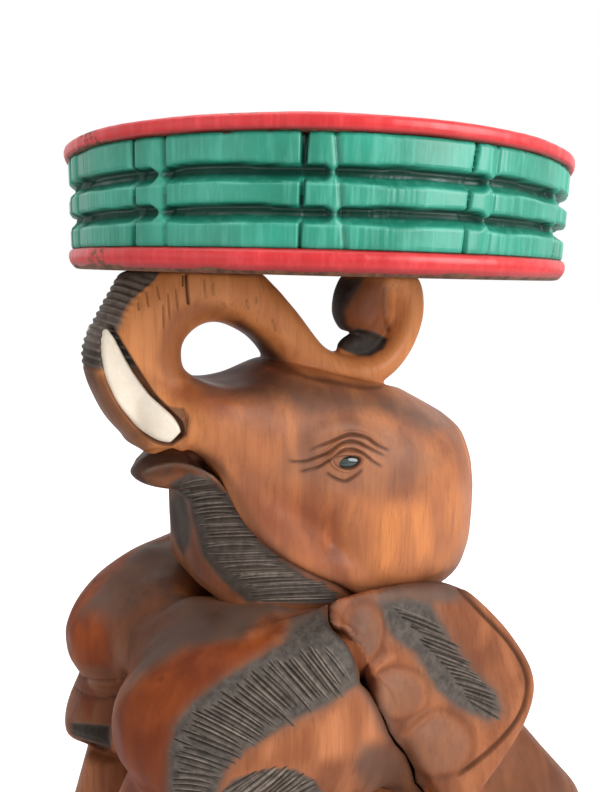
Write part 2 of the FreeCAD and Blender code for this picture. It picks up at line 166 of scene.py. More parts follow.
# Voxel sculpting. A field holds the distance from a surface up to this many voxels
REACH = 10


class Lattice:
    """A box of evenly spaced points."""

    def __init__(self, names, voxel, margin=8.0):
        corners = [np.array(c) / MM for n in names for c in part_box(n)]
        self.voxel = voxel
        self.start = np.floor((np.min(corners, 0) - margin) / voxel).astype(int)
        self.stop = np.ceil((np.max(corners, 0) + margin) / voxel).astype(int) + 1
        self.shape = tuple(int(n) for n in self.stop - self.start)
        axes = [np.arange(a, b, dtype=np.float32) * voxel for a, b in zip(self.start, self.stop)]
        self.x = axes[0][:, None, None]
        self.y = axes[1][None, :, None]
        self.z = axes[2][None, None, :]

    def solid(self, name):
        """Distance in mm from the surface of a CAD node, negative inside."""
        mesh = nodes[name].data
        mesh.calc_loop_triangles()
        points = np.empty(len(mesh.vertices) * 3, np.float32)
        mesh.vertices.foreach_get("co", points)
        faces = np.empty(len(mesh.loop_triangles) * 3, np.int32)
        mesh.loop_triangles.foreach_get("vertices", faces)
        grid = vdb.FloatGrid.createLevelSetFromPolygons(
            points.reshape(-1, 3) / np.float32(MM), triangles=faces.reshape(-1, 3).astype(np.uint32),
            transform=vdb.createLinearTransform(voxelSize=self.voxel), halfWidth=float(REACH))
        field = np.empty(self.shape, np.float32)
        grid.copyToArray(field, ijk=tuple(int(v) for v in self.start))
        return field

    def quads(self, field):
        """The surface where a field is zero."""
        grid = vdb.FloatGrid(REACH * self.voxel)
        grid.copyFromArray(field, ijk=tuple(int(v) for v in self.start))
        grid.transform = vdb.createLinearTransform(voxelSize=self.voxel)
        return grid.convertToQuads(0.0)

    def sample(self, field, points):
        """A field's values at any points, or the values of several fields that are its last axis."""
        q = np.clip(points / self.voxel - self.start, 0, np.array(self.shape) - 1.001)
        i = q.astype(np.int64)
        f = (q - i).astype(np.float32)
        rows = field.reshape(-1, *field.shape[3:])
        first = (i[:, 0] * self.shape[1] + i[:, 1]) * self.shape[2] + i[:, 2]
        total = 0
        for dx in (0, 1):
            for dy in (0, 1):
                for dz in (0, 1):
                    w = np.abs(1 - dx - f[:, 0]) * np.abs(1 - dy - f[:, 1]) * np.abs(1 - dz - f[:, 2])
                    w = w.reshape(-1, *(1 for _ in field.shape[3:]))
                    total = total + w * rows[first + (dx * self.shape[1] + dy) * self.shape[2] + dz]
        return total

    def slopes(self, field):
        """A field and its three slopes, as a last axis."""
        return np.stack([field] + [np.gradient(field, self.voxel, axis=k) for k in range(3)], 3).astype(np.float32)


def blur(field, passes):
    """Melts the creases of a field."""
    for _ in range(passes):
        for axis in range(3):
            a = np.moveaxis(field, axis, 0)
            b = a.copy()
            b[1:-1] = 0.25 * a[:-2] + 0.5 * a[1:-1] + 0.25 * a[2:]
            field = np.moveaxis(b, 0, axis)
    return np.ascontiguousarray(field)


def join(a, b, soft):
    """The union of two fields, with a fillet."""
    h = np.clip(0.5 + 0.5 * (b - a) / soft, 0, 1)
    return b + (a - b) * h - soft * h * (1 - h)


def both_of(a, b, soft):
    """Where two fields meet, with a rounded edge."""
    return -join(-a, -b, soft)


def cut(a, b, soft):
    """Field a without field b."""
    return -join(-a, b, soft)


def ball(lattice, centre, radii, turn=0.0, axis="Y"):
    """About the distance from an ellipsoid."""
    p = [lattice.x - centre[0], lattice.y - centre[1], lattice.z - centre[2]]
    if turn:
        c, s = math.cos(math.radians(turn)), math.sin(math.radians(turn))
        a, b = {"X": (1, 2), "Y": (2, 0), "Z": (0, 1)}[axis]
        p[a], p[b] = c * p[a] + s * p[b], c * p[b] - s * p[a]
    k0 = np.sqrt(sum((v / r) ** 2 for v, r in zip(p, radii)))
    k1 = np.sqrt(sum((v / r ** 2) ** 2 for v, r in zip(p, radii)))
    return k0 * (k0 - 1) / np.maximum(k1, 1e-6)


def tube(lattice, points):
    """About the distance from a chain of points, each with its radius as a fourth number."""
    best = None
    for a, b in zip(points[:-1], points[1:]):
        d = np.subtract(b[:3], a[:3])
        p = (lattice.x - a[0], lattice.y - a[1], lattice.z - a[2])
        t = np.clip((p[0] * d[0] + p[1] * d[1] + p[2] * d[2]) / (d @ d), 0, 1)
        gap = np.sqrt((p[0] - t * d[0]) ** 2 + (p[1] - t * d[1]) ** 2 + (p[2] - t * d[2]) ** 2)
        gap = gap - (a[3] + t * (b[3] - a[3]))
        best = gap if best is None else np.minimum(best, gap)
    return best


def mesh_object(name, points, quads, odd=(), values=None):
    """A smooth-shaded object from points in mm, with a named number at each point for its material."""
    corners = np.concatenate((np.ravel(quads), [v for face in odd for v in face])).astype(np.int32)
    sizes = np.concatenate((np.full(len(quads), 4), [len(face) for face in odd])).astype(np.int32)
    starts = np.concatenate(((0,), np.cumsum(sizes)[:-1])).astype(np.int32)
    mesh = bpy.data.meshes.new(name)
    mesh.vertices.add(len(points))
    mesh.vertices.foreach_set("co", np.ravel(np.asarray(points) * MM).astype(np.float32))
    mesh.loops.add(len(corners))
    mesh.loops.foreach_set("vertex_index", corners)
    mesh.polygons.add(len(sizes))
    mesh.polygons.foreach_set("loop_start", starts)
    mesh.update(calc_edges=True)
    mesh.validate()
    mesh.polygons.foreach_set("use_smooth", np.ones(len(mesh.polygons), bool))
    for key, value in (values or {}).items():
        layer = mesh.attributes.new(key, "FLOAT", "POINT")
        layer.data.foreach_set("value", np.asarray(value, np.float32))
    mesh.update()
    obj = bpy.data.objects.new(name, mesh)
    bpy.context.scene.collection.objects.link(obj)
    return obj


def refine(points, quads, wanted, rounds):
    """Splits the faces whose middle is wanted in four, so that fine carving has points to move."""
    odd = []
    for _ in range(rounds):
        chosen = wanted(points[quads].mean(1))
        fine, rest = quads[chosen].astype(np.int64), quads[~chosen].astype(np.int64)
        if not len(fine):
            break
        count = len(points)
        ends = np.sort(np.stack((fine, np.roll(fine, -1, 1)), 2), 2)
        edges, which = np.unique(ends[..., 0] * count + ends[..., 1], return_inverse=True)
        middle = count + which.reshape(fine.shape)
        centre = count + len(edges) + np.arange(len(fine))
        between = points[np.stack((edges // count, edges % count), 1)].mean(1)
        parts = [np.stack((fine[:, k], middle[:, k], centre, middle[:, k - 1]), 1) for k in range(4)]
        points = np.concatenate((points, between, points[fine].mean(1)))
        # The faces beside them take in the new points
        ends = np.sort(np.stack((rest, np.roll(rest, -1, 1)), 2), 2)
        keys = ends[..., 0] * count + ends[..., 1]
        at = np.minimum(np.searchsorted(edges, keys), len(edges) - 1)
        touched = (edges[at] == keys).any(1)
        known = {int(key): count + i for i, key in enumerate(edges)}
        beside = odd + rest[touched].tolist()
        odd = []
        for face in beside:
            grown = []
            for a, b in zip(face, face[1:] + face[:1]):
                grown.append(a)
                new = known.get(min(a, b) * count + max(a, b))
                if new is not None:
                    grown.append(new)
            odd.append(grown)
        quads = np.concatenate([rest[~touched]] + parts)
    return points, quads, odd


def settle(lattice, field, points):
    """Moves points onto the surface, and gives their normals."""
    known = lattice.slopes(field)
    for _ in range(3):
        here = lattice.sample(known, points)
        g = here[:, 1:]
        move = g * (here[:, :1] / np.maximum((g * g).sum(1, keepdims=True), 0.05))
        far = np.linalg.norm(move, axis=1, keepdims=True)
        points = points - move * np.minimum(1, lattice.voxel / np.maximum(far, 1e-9))
    g = lattice.sample(known, points)[:, 1:].astype(float)
    return points, g / np.maximum(np.linalg.norm(g, axis=1, keepdims=True), 1e-9)


def sculpt(name, lattice, field, detail, fine=None, rounds=1):
    """Makes a piece from a field. detail gives each point's rise and its values for the material."""
    points, quads = lattice.quads(field)
    points, quads, odd = points.astype(float), quads[:, ::-1], []
    if fine is not None:
        points, quads, odd = refine(points, quads, fine, rounds)
    points, normals = settle(lattice, field, points)
    rise, values = detail(points, normals)
    points = points + normals * rise[:, None]
    points[:, 2] = np.maximum(points[:, 2], 0)
    return mesh_object(name, points, quads, odd, values)


def wobble(points, size, seed):
    """A smooth uneven surface, between about -1 and 1."""
    rng = np.random.default_rng(seed)
    total = np.zeros(len(points))
    for k in range(2):
        for _ in range(5):
            d = rng.normal(size=3)
            d /= np.linalg.norm(d)
            total += np.sin(points @ d * (2 * math.pi * 2 ** k / size) + rng.uniform(0, 7)) * 0.5 ** k
    return total / 4


# Materials
def colour(r, g, b):
    """A colour as a screen shows it, in the numbers that a shader takes."""
    linear = [v / 255 / 12.92 if v <= 10 else ((v / 255 + 0.055) / 1.055) ** 2.4 for v in (r, g, b)]
    return (*linear, 1.0)


class Nodes:
    """A short way to write a material's nodes."""

    def __init__(self, name):
        self.material = bpy.data.materials.new(name)
        self.material.use_nodes = True
        self.tree = self.material.node_tree
        self.shader = self.tree.nodes["Principled BSDF"]
        self.place = self.make("ShaderNodeTexCoord").outputs["Object"]

    def make(self, kind, **settings):
        node = self.tree.nodes.new(kind)
        for key, value in settings.items():
            setattr(node, key, value)
        return node

    def put(self, socket, value):
        if isinstance(value, bpy.types.NodeSocket):
            self.tree.links.new(value, socket)
        else:
            socket.default_value = value

    def scaled(self, x, y, z):
        node = self.make("ShaderNodeMapping")
        self.put(node.inputs["Vector"], self.place)
        node.inputs["Scale"].default_value = (x, y, z)
        return node.outputs["Vector"]

    def noise(self, scale, detail=3.0, rough=0.55, stretch=(1, 1, 1), twist=0.0):
        node = self.make("ShaderNodeTexNoise")
        self.put(node.inputs["Vector"], self.scaled(*stretch))
        self.put(node.inputs["Scale"], scale)
        self.put(node.inputs["Detail"], detail)
        self.put(node.inputs["Roughness"], rough)
        self.put(node.inputs["Distortion"], twist)
        return node.outputs["Fac"]

    def value(self, name):
        return self.make("ShaderNodeAttribute", attribute_name=name).outputs["Fac"]

    def math(self, operation, a, b):
        node = self.make("ShaderNodeMath", operation=operation)
        self.put(node.inputs[0], a)
        self.put(node.inputs[1], b)
        return node.outputs[0]

    def times(self, a, b):
        return self.math("MULTIPLY", a, b)

    def span(self, value, low, high, to_low=0.0, to_high=1.0):
        node = self.make("ShaderNodeMapRange")
        for key, v in (("Value", value), ("From Min", low), ("From Max", high),
                       ("To Min", to_low), ("To Max", to_high)):
            self.put(node.inputs[key], v)
        return node.outputs["Result"]

    def mix(self, share, a, b):
        """Colour a, or b where the share is 1. Each is a socket, or red, green and blue out of 255."""
        node = self.make("ShaderNodeMix", data_type="RGBA")
        self.put(node.inputs["Factor"], share)
        for socket, v in zip(node.inputs[6:8], (a, b)):
            self.put(socket, colour(*v) if isinstance(v, tuple) else v)
        return node.outputs[2]

    def blend(self, value, low, high, a, b):
        """Colour a where a value is low, and b where it is high."""
        return self.mix(self.span(value, low, high), a, b)

    def finish(self, base, rough, height, depth, strength):
        """Gives the shader its colour, roughness and bump, which is depth in mm."""
        node = self.make("ShaderNodeBump")
        self.put(node.inputs["Height"], height)
        node.inputs["Distance"].default_value = depth * MM
        node.inputs["Strength"].default_value = strength
        for key, value in (("Base Color", base), ("Roughness", rough), ("Normal", node.outputs["Normal"])):
            self.put(self.shader.inputs[key], value)
        return self.material


def wood(name, *kinds, shine=0.22, warm=((122, 56, 28), (160, 82, 42))):
    """Waxed carved wood, its grain upright, coloured by the values on its mesh."""
    m = Nodes(name)
    cloud = m.noise(14, 3.0, 0.5)
    rings = m.noise(60, 3.0, 0.5, (1, 1, 0.16), 0.4)
    fine = m.noise(420, 4.0, 0.62, (1, 1, 0.05))
    pores = m.noise(900, 2.0, 0.7, (1, 1, 0.035))
    blotch = m.noise(230, 5.0, 0.68)
    patchy = m.span(m.noise(36, 4.0, 0.6), 0.3, 0.7, 0.75, 1.15)

    def plank(light, mid, dark, streak):
        base = m.blend(cloud, 0.35, 0.65, mid, dark)
        base = m.mix(m.times(m.span(rings, 0.42, 0.66), 0.5), base, light)
        base = m.mix(m.value("light"), base, m.blend(rings, 0.4, 0.62, light, mid))
        base = m.mix(m.times(m.span(fine, 0.5, 0.72), 0.28), base, streak)
        return m.mix(m.times(m.span(pores, 0.6, 0.75), 0.35), base, streak)

    base = plank(*kinds[0])
    if len(kinds) > 1:
        base = m.mix(m.value("tan"), base, plank(*kinds[1]))
    base = m.mix(m.value("warm"), base, m.blend(rings, 0.4, 0.65, *warm))
    base = m.mix(m.times(m.value("haze"), patchy), base, m.blend(cloud, 0.3, 0.7, (106, 94, 86), (86, 66, 56)))
    base = m.mix(m.times(m.value("brown"), patchy), base, m.blend(fine, 0.35, 0.65, (74, 44, 28), (94, 56, 38)))
    # This value is black stain, and painted shade in the pocket under the trunk's tip, on the tip's shaded side and
    # under the far foot
    stain_and_shade = m.math("ADD", m.value("stain_and_shade"), m.span(blotch, 0.25, 0.75, -0.17, 0.17))
    stain_and_shade = m.span(stain_and_shade, 0.24, 0.74)
    grey = m.blend(blotch, 0.35, 0.65, (64, 59, 55), (98, 90, 83))
    black = m.blend(blotch, 0.35, 0.65, (34, 28, 23), (54, 45, 38))
    base = m.mix(m.times(stain_and_shade, 0.96), base, m.mix(m.value("brown"), grey, black))
    # The edge value is a painted highlight: pale grey on lit stroke flanks, fold crests and the lip rim
    worn = m.times(m.value("edge"), m.span(blotch, 0.3, 0.6, 0.35, 1.0))
    base = m.mix(worn, base, (152, 138, 126))
    rough = m.math("ADD", m.span(m.noise(50, 4.0, 0.6), 0.3, 0.7, 0.36, 0.52), m.times(stain_and_shade, 0.12))
    m.shader.inputs["Specular IOR Level"].default_value = shine
    calm = m.math("SUBTRACT", 0.35, m.times(stain_and_shade, 0.25))
    height = m.math("ADD", m.times(m.noise(130, 2.0, 0.5), 0.5), m.times(fine, calm))
    return m.finish(base, rough, height, 0.5, 0.55)


def enamel(name, deep, mid, pale, worn=(120, 74, 48)):
    """Brushed glossy paint on carved wood, worn through to the wood at its edges."""
    m = Nodes(name)
    cloud = m.noise(22, 4.0, 0.6)
    brush = m.noise(300, 3.0, 0.6, (1, 1, 0.12))
    base = m.blend(cloud, 0.32, 0.68, mid, deep)
    base = m.mix(m.times(m.span(brush, 0.48, 0.72), 0.4), base, pale)
    # The low value is painted shade: darker paint deep in the grooves and on the rims' downward edges
    base = m.mix(m.value("low"), base, tuple(v * 0.5 for v in deep))
    # The pale value is a painted highlight along the bars' upper edges
    base = m.mix(m.times(m.value("pale"), 0.6), base, pale)
    chips = m.span(m.noise(240, 5.0, 0.7), 0.25, 0.75, -0.35, 0.35)
    bare = m.span(m.math("ADD", m.value("worn"), chips), 0.45, 0.6)
    base = m.mix(bare, base, m.blend(brush, 0.35, 0.65, worn, (74, 44, 28)))
    rough = m.math("ADD", m.span(brush, 0.3, 0.7, 0.28, 0.44), m.times(bare, 0.3))
    m.shader.inputs["Specular IOR Level"].default_value = 0.5
    height = m.math("ADD", m.times(brush, 0.6), m.times(m.noise(120, 3.0, 0.55), 0.7))
    return m.finish(base, rough, m.math("SUBTRACT", height, m.times(bare, 0.5)), 0.35, 0.5)


def ivory():
    """Ivory-coloured paint, specked with dirt."""
    m = Nodes("ivory_paint")
    speck = m.noise(700, 4.0, 0.7)
    cloud = m.noise(60, 3.0, 0.5)
    base = m.blend(cloud, 0.3, 0.7, (244, 232, 214), (232, 217, 196))
    base = m.mix(m.times(m.span(speck, 0.56, 0.74), 0.4), base, (196, 170, 140))
    base = m.mix(m.value("worn"), base, (96, 60, 40))
    return m.finish(base, m.span(cloud, 0.3, 0.7, 0.4, 0.55), speck, 0.25, 0.4)


def glass():
    """A dark glass bead."""
    m = Nodes("eye_glass")
    cloud = m.noise(260, 3.0, 0.5)
    m.shader.inputs["Coat Weight"].default_value = 0.5
    base = m.blend(cloud, 0.35, 0.65, (22, 30, 30), (50, 66, 64))
    return m.finish(base, m.span(cloud, 0.3, 0.7, 0.06, 0.12), cloud, 0.05, 0.2)


# Colours of the wood: light, middle, dark and streaks
HEAD_KIND = ((220, 138, 80), (166, 102, 68), (142, 86, 58), (92, 50, 30))
TRUNK_KIND = ((224, 150, 94), (206, 131, 76), (186, 112, 62), (118, 64, 34))
FIGURE_WOOD = wood("figure_wood", HEAD_KIND, TRUNK_KIND)
BODY_WOOD = wood("body_wood", ((192, 122, 80), (146, 86, 54), (116, 66, 42), (76, 42, 26)), shine=0.12,
                 warm=((118, 48, 15), (148, 68, 25)))
RED = enamel("red_enamel", (196, 34, 38), (220, 44, 48), (238, 84, 88))
GREEN = enamel("green_enamel", (28, 128, 102), (46, 162, 136), (104, 194, 172), worn=(104, 84, 56))
IVORY = ivory()
GLASS = glass()


def dress(obj, material, slot, *replaced):
    """Gives a piece its material and place in the frame. Its slot is not used."""
    obj.data.materials.append(material)
    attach(obj, "root")
    if replaced:
        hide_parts(*replaced)
    return obj


# Seat
SEAT_UNDER, SEAT_TOP = 400.0, 461.0
BAND_LOW, BAND_HIGH = 410.5, 454.0
BAND_RADIUS = 138.5
TURN_STEPS = 1500
# The two red boards, as radius and height from the underside up
TOP_ROWS = [(40, 454.0), (100, 454.0), (132, 454.0), (136.6, 454.05), (138.4, 454.3), (139.3, 454.9),
            (139.75, 455.8), (139.9, 457.0), (139.85, 458.4), (139.6, 459.4), (139.0, 460.2), (138.0, 460.7),
            (136.8, 460.95), (134, 461.0), (120, 461.0), (90, 461.0), (50, 461.0)]
LOW_ROWS = [(40, 400.0), (90, 400.0), (125, 400.0), (134.5, 400.0), (136.2, 400.25), (137.3, 400.9),
            (138.1, 401.8), (138.9, 402.9), (139.5, 404.2), (139.85, 405.6), (139.9, 407.0), (139.6, 408.3),
            (139.0, 409.3), (138.2, 410.0), (137.0, 410.4), (134.0, 410.5), (100, 410.5), (50, 410.5)]


def turned(name, rows, shape, values):
    """A round board. rows are (radius, height) from its underside up; shape and values work on each point."""
    angle = np.linspace(0, 360, TURN_STEPS, endpoint=False)
    r, z = (np.repeat(np.array([row], float).T, TURN_STEPS, 1) for row in zip(*rows))
    phi = np.repeat(angle[None, :], len(rows), 0)
    r, z = shape(r, phi, z)
    a = np.radians(phi)
    points = np.stack((r * np.cos(a), r * np.sin(a), z), 2).reshape(-1, 3)
    index = np.arange(r.size).reshape(r.shape)
    right = np.roll(index, -1, 1)
    quads = np.stack((index[:-1], right[:-1], right[1:], index[1:]), 2).reshape(-1, 4)
    low, high = len(points), len(points) + 1
    points = np.concatenate((points, [(0, 0, z[0].mean()), (0, 0, z[-1].mean())]))
    caps = [(low, b, a) for a, b in zip(index[0], right[0])]
    caps += [(high, a, b) for a, b in zip(index[-1], right[-1])]
    given = {k: np.concatenate((v.ravel(), (v[0].mean(), v[-1].mean()))) for k, v in values(r, phi, z).items()}
    return mesh_object(name, points, quads, caps, given)


def turn_gap(phi, middle):
    """How far angles are from a middle one, round either way."""
    return np.abs(np.mod(phi - middle + 180, 360) - 180)


def waves(phi, seed, *orders):
    """A smooth change round the seat, between about -1 and 1."""
    rng = np.random.default_rng(seed)
    total = 0
    for n in orders:
        total = total + np.sin(np.radians(phi) * n + rng.uniform(0, 7)) / len(orders)
    return total


# Each span of the band: its joint's angle, the joint's lean, the raised knot's length, how far the grooves
# pinch at the knot, the lean and depth of the cut after it, a step's place along the bar, and ragged ends
SPANS = [
    (-188.0, 0.4, 7.0, 0.5, 0.2, 0.8, 0.5, 0.2), (-158.6, 0.1, 7.6, 1.0, 0.1, 1.6, 0.22, 0.1),
    (-126.4, 0.5, 6.3, 0.9, 1.5, 1.0, 0.0, 0.0), (-97.2, 0.9, 5.6, 0.75, 0.3, 0.4, 0.0, 1.0),
    (-68.0, 0.2, 7.0, 0.1, 0.1, 0.5, 0.0, 0.6),
]
GROOVES = (438.9, 423.6)
GROOVE_SHAPE = ((-4.7, -4.0, -0.7, 2.9, 3.8, 4.3), (0.0, 0.3, 5.4, 6.6, 0.5, 0.0))


def all_spans():
    """The spans that the photograph shows, and others like them round the back."""
    rng = np.random.default_rng(11)
    spans = list(SPANS)
    angle = spans[-1][0] + 29.6
    while angle < 360 + spans[0][0] - 15:
        spans.append((angle, rng.uniform(-0.4, 0.9), rng.uniform(5.5, 7.8), rng.uniform(0.3, 1.0),
                      rng.uniform(0, 1.4), rng.uniform(0.4, 1.4), rng.choice((0.0, 0.3, 0.5)), rng.uniform(0, 1)))
        angle += rng.uniform(28.6, 30.6)
    return spans


def groove_drift(phi, k):
    """How far a groove strays from its height."""
    return 0.5 * waves(phi, 31 + k, 7, 12, 19)


def band_depth(phi, z):
    """How deep the band's carving is at each point, in mm."""
    spans = all_spans()
    starts = np.array([s[0] for s in spans])
    phi = np.mod(phi - starts[0], 360) + starts[0]
    which = np.clip(np.searchsorted(starts, phi, side="right") - 1, 0, len(spans) - 1)
    table = np.array(spans)[which]
    nexts = np.append(starts[1:], starts[0] + 360)[which]
    arc = math.radians(1) * BAND_RADIUS
    rise = (z - (BAND_LOW + BAND_HIGH) / 2) / 21.5
    lean = table[..., 1] * rise
    s = (phi - table[..., 0]) - lean
    length = nexts - table[..., 0]
    left = length - s
    knot = table[..., 2] + table[..., 4] * -rise
    # Joints at the two ends of a span
    joint = 4.0 * (np.exp(-(s / 0.42) ** 4) + np.exp(-(left / 0.42) ** 4))
    ragged = table[..., 7]
    chips = waves(phi * 9 + z * 61, 3, 11, 17, 23) + waves(z * 70 + phi * 3, 5, 13, 19)
    joint *= 1 - 0.75 * ragged * (0.6 + 0.4 * chips)
    # Rounded knot, then a cut, then the long bars
    on_knot = step(-0.2, 0.2, s) * step(-0.2, 0.2, knot - s)
    middle = (s - knot / 2) / (knot / 2)
    crown = 0.9 * middle ** 2 * on_knot
    edge = table[..., 5] * np.exp(-((s - knot) / 0.45) ** 2)
    stepped = np.where(table[..., 6] > 0, 0.7 * step(-0.15, 0.15, table[..., 6] * length - s), 0) * (1 - on_knot)
    # Grooves between the three rows of bars
    pinch = table[..., 3] * np.exp(-((s - knot * 0.82) / (0.16 * knot)) ** 2)
    swell = 1 + 0.12 * waves(phi, 21, 9, 14, 31)
    depth = np.zeros_like(z)
    for k, centre in enumerate(GROOVES):
        drift = groove_drift(phi, k)
        width = swell * (1 - 0.6 * pinch) * (1 - 0.35 * ragged * step(2.2, 0.4, left))
        shape = np.interp((z - centre - drift) / width, *GROOVE_SHAPE)
        depth = np.maximum(depth, shape * (1 - 0.85 * pinch) * (1 - 0.8 * ragged * step(1.6, 0.2, left)))
    # Faces are cut flat by hand, and lean a little
    row = np.digitize(z, (GROOVES[1], GROOVES[0]))
    face = 0.5 * waves(phi + row * 40, 41, 5, 8) + 0.25 * waves(phi + row * 77, 43, 37, 53)
    marks = 0.12 * waves(phi + row * 13, 47, 211, 307, 419) * step(-0.2, 0.5, waves(phi + row * 31, 51, 8, 13))
    edges = 0.9 * step(1.6, 0.0, BAND_HIGH - z) + 0.5 * step(1.2, 0.0, z - BAND_LOW)
    total = np.maximum(depth, np.maximum(joint, 0)) + edge + crown + stepped + 0.5 + 0.5 * face + marks + edges
    return np.maximum(total, 0.0)


def make_seat():
    """The seat's three layers."""
    band_rows = [(BAND_RADIUS, z) for z in np.linspace(BAND_LOW, BAND_HIGH, 66)]

    def band_shape(r, phi, z):
        return r - band_depth(phi, z), z

    def band_values(r, phi, z):
        depth = BAND_RADIUS - r
        above = z - np.array(GROOVES)[:, None, None] - np.stack([groove_drift(phi, k) for k in range(len(GROOVES))])
        above = above[np.abs(above).argmin(0), *np.indices(z.shape)]
        # Painted shade: darker the deeper the carving, most under each groove's overhang
        low = step(1.0, 4.0, depth) * (0.25 + 0.75 * step(-1.6, 0.2, above))
        # Painted highlight: a pale line along the top edge of each bar below a groove
        pale = np.exp(-((above + 4.2) / 0.5) ** 2) * step(-0.6, 0.6, waves(phi, 63, 19, 31, 47))
        worn = 0.42 * step(1.8, 0.0, BAND_HIGH - z) + 0.2 * step(0.6, 1.0, waves(phi + z, 61, 17, 29, 43))
        worn += 0.25 * np.exp(-((above + 0.9) / 0.7) ** 2) * step(2.5, 4.5, depth)
        return {"low": low, "worn": worn, "pale": pale}

    band = turned("seat_band", band_rows, band_shape, band_values)
    dress(band, GREEN, "green_enamel", "seat_carved_band")

    def top_shape(r, phi, z):
        rim = step(134, 138, r)
        dip = rim * (0.25 + 0.25 * waves(phi, 71, 5, 11, 23) + 0.12 * waves(phi, 73, 67, 91))
        sag = rim * step(457.5, 454.2, z) * (0.35 * waves(phi, 75, 7, 13, 29))
        return r - dip, np.minimum(z + sag - 0.15 * rim * step(459, 461, z) * (1 + waves(phi, 77, 9, 17)), SEAT_TOP)

    def top_values(r, phi, z):
        # Painted shade on the rim's lower edge, which faces down over the band
        low = 0.8 * step(455.4, 454.4, z) * step(130, 137, r)
        edge = step(3.4, 0.4, np.abs(z - 460.4) + np.abs(r - 138.2))
        worn = 0.5 * edge * step(-0.5, 0.8, waves(phi, 81, 6, 13, 31))
        worn += 0.75 * step(0.8, 0.0, z - BAND_HIGH) * step(135, 137, r)
        worn += 0.45 * step(12, 2, turn_gap(phi, -171)) * step(130, 136, r)
        return {"low": low, "worn": worn}

    top = turned("seat_top", TOP_ROWS, top_shape, top_values)
    dress(top, RED, "red_enamel", "seat_top_board")

    def low_shape(r, phi, z):
        rim = step(134, 138, r)
        return r - rim * (0.3 + 0.3 * waves(phi, 91, 4, 9, 21) + 0.12 * waves(phi, 93, 57, 83)), z

    def low_values(r, phi, z):
        # Painted shade on the rim's lower third, which faces down, and on its top edge beside the band
        low = 0.6 * step(404.0, 402.2, z) + 0.5 * step(409.2, 410.2, z)
        ripple = 0.5 * waves(phi, 95, 9, 17, 33)
        worn = 1.2 * step(401.9 + ripple, 401.2 + ripple, z)
        worn += 0.1 + 0.4 * step(9, 1, turn_gap(phi, -170)) * step(0.2, -0.2, z - 409.5)
        return {"low": np.clip(low, 0, 1), "worn": worn}

    bottom = turned("seat_bottom", LOW_ROWS, low_shape, low_values)
    dress(bottom, RED, "red_enamel", "seat_bottom_board")


make_seat()


# Where the photograph shows each stain, stroke, fold, painted shade and painted highlight, in its pixels
WRINKLES = [
    [(308, 453), (312, 449), (330, 442), (347, 434), (357, 435), (367, 438), (376, 445), (392, 452)],
    [(285, 460), (295, 462), (305, 462), (315, 458), (326, 454), (333, 449), (341, 443), (350, 441), (359, 443),
     (368, 448), (388, 458)],
    [(297, 472), (315, 469), (324, 464), (332, 458), (339, 452), (347, 449), (356, 450), (365, 455), (374, 463),
     (385, 468)],
    [(326, 471), (330, 476), (337, 480), (345, 482), (352, 478), (359, 473), (363, 468)],
]
EYE_AT, LID_SIZE, LID_SAG = (347, 462.5), (13.0, 6.6), 1 / 3
BROW = [(296, 450), (325, 431), (352, 425), (386, 446)]
UNDER_EYE = [(310, 484), (345, 497), (380, 480)]
# The crown's grey haze, part smoke and part painted sheen
CROWN_HAZE_AND_SHEEN = [(188, 366), (235, 368), (276, 373), (301, 377), (338, 389), (367, 394), (391, 397), (428, 406),
    (453, 428), (428, 436), (398, 418), (377, 412), (336, 412), (313, 418), (284, 401), (243, 397), (212, 395),
    (192, 381)]
CROWN_BROWN = [(188, 373), (219, 373), (264, 367), (297, 375), (328, 385), (363, 393), (338, 399), (305, 393),
    (276, 391), (252, 389), (206, 385)]
EYE_HAZE = [(305, 418), (326, 412), (377, 418), (428, 449), (441, 465), (418, 484), (377, 494), (346, 494),
    (315, 482), (276, 471), (289, 449)]
# Paler wood on the cheek, with a painted highlight
CHEEK_PALE_WOOD_AND_HIGHLIGHT = [(352, 498), (377, 502), (408, 506), (441, 490), (453, 482), (469, 502), (467, 535), (441, 556),
    (408, 574), (377, 578), (352, 560), (344, 535)]
# A painted highlight on the forehead
FOREHEAD_HIGHLIGHT = [(188, 428), (212, 418), (247, 422), (276, 442), (289, 465), (264, 473), (235, 457), (208, 449),
    (194, 438)]
ROOT_WARM = [(157, 381), (206, 383), (235, 397), (231, 418), (202, 408), (173, 403)]
CHEEK_WARM = [(247, 494), (305, 494), (342, 506), (344, 535), (352, 560), (346, 580), (315, 572), (284, 547),
    (260, 527)]
CHEEK_LOW = [(300, 566), (326, 580), (367, 588), (408, 584), (449, 568), (470, 548), (476, 566), (449, 590),
    (408, 602), (367, 602), (326, 596)]
JAW_EDGE = [(198, 453), (219, 465), (235, 486), (247, 514), (264, 541), (293, 566), (326, 582), (367, 590),
    (408, 586), (449, 572), (465, 564)]
THROAT_STAIN = [(169, 485), (188, 473), (210, 478), (227, 494), (239, 512), (254, 535), (276, 556), (305, 576),
    (336, 593), (336, 603), (305, 604), (247, 602), (223, 582), (202, 556), (194, 525), (188, 502), (176, 492)]
THROAT_FROM = [(173, 488), (186, 500), (192, 514), (196, 531), (198, 547), (208, 564), (225, 580), (241, 597),
    (247, 603)]
THROAT_TO = [(210, 480), (227, 498), (239, 514), (252, 533), (268, 551), (291, 568), (311, 580), (332, 593),
    (336, 602)]
THROAT_FRONT = [(166, 488), (186, 494), (193, 520), (192, 544), (184, 560), (168, 556)]
THROAT_WARM = [(188, 535), (202, 558), (219, 580), (243, 595), (235, 599), (210, 586), (192, 568)]
LIP_DARK = [(126, 482), (129, 465), (149, 449), (188, 453), (212, 461), (235, 482), (235, 498), (210, 477),
    (182, 466), (161, 465), (143, 473), (151, 488)]
LIP_RIM = [(141, 474), (157, 467), (173, 464), (188, 466), (202, 470), (212, 476), (227, 490), (238, 506)]
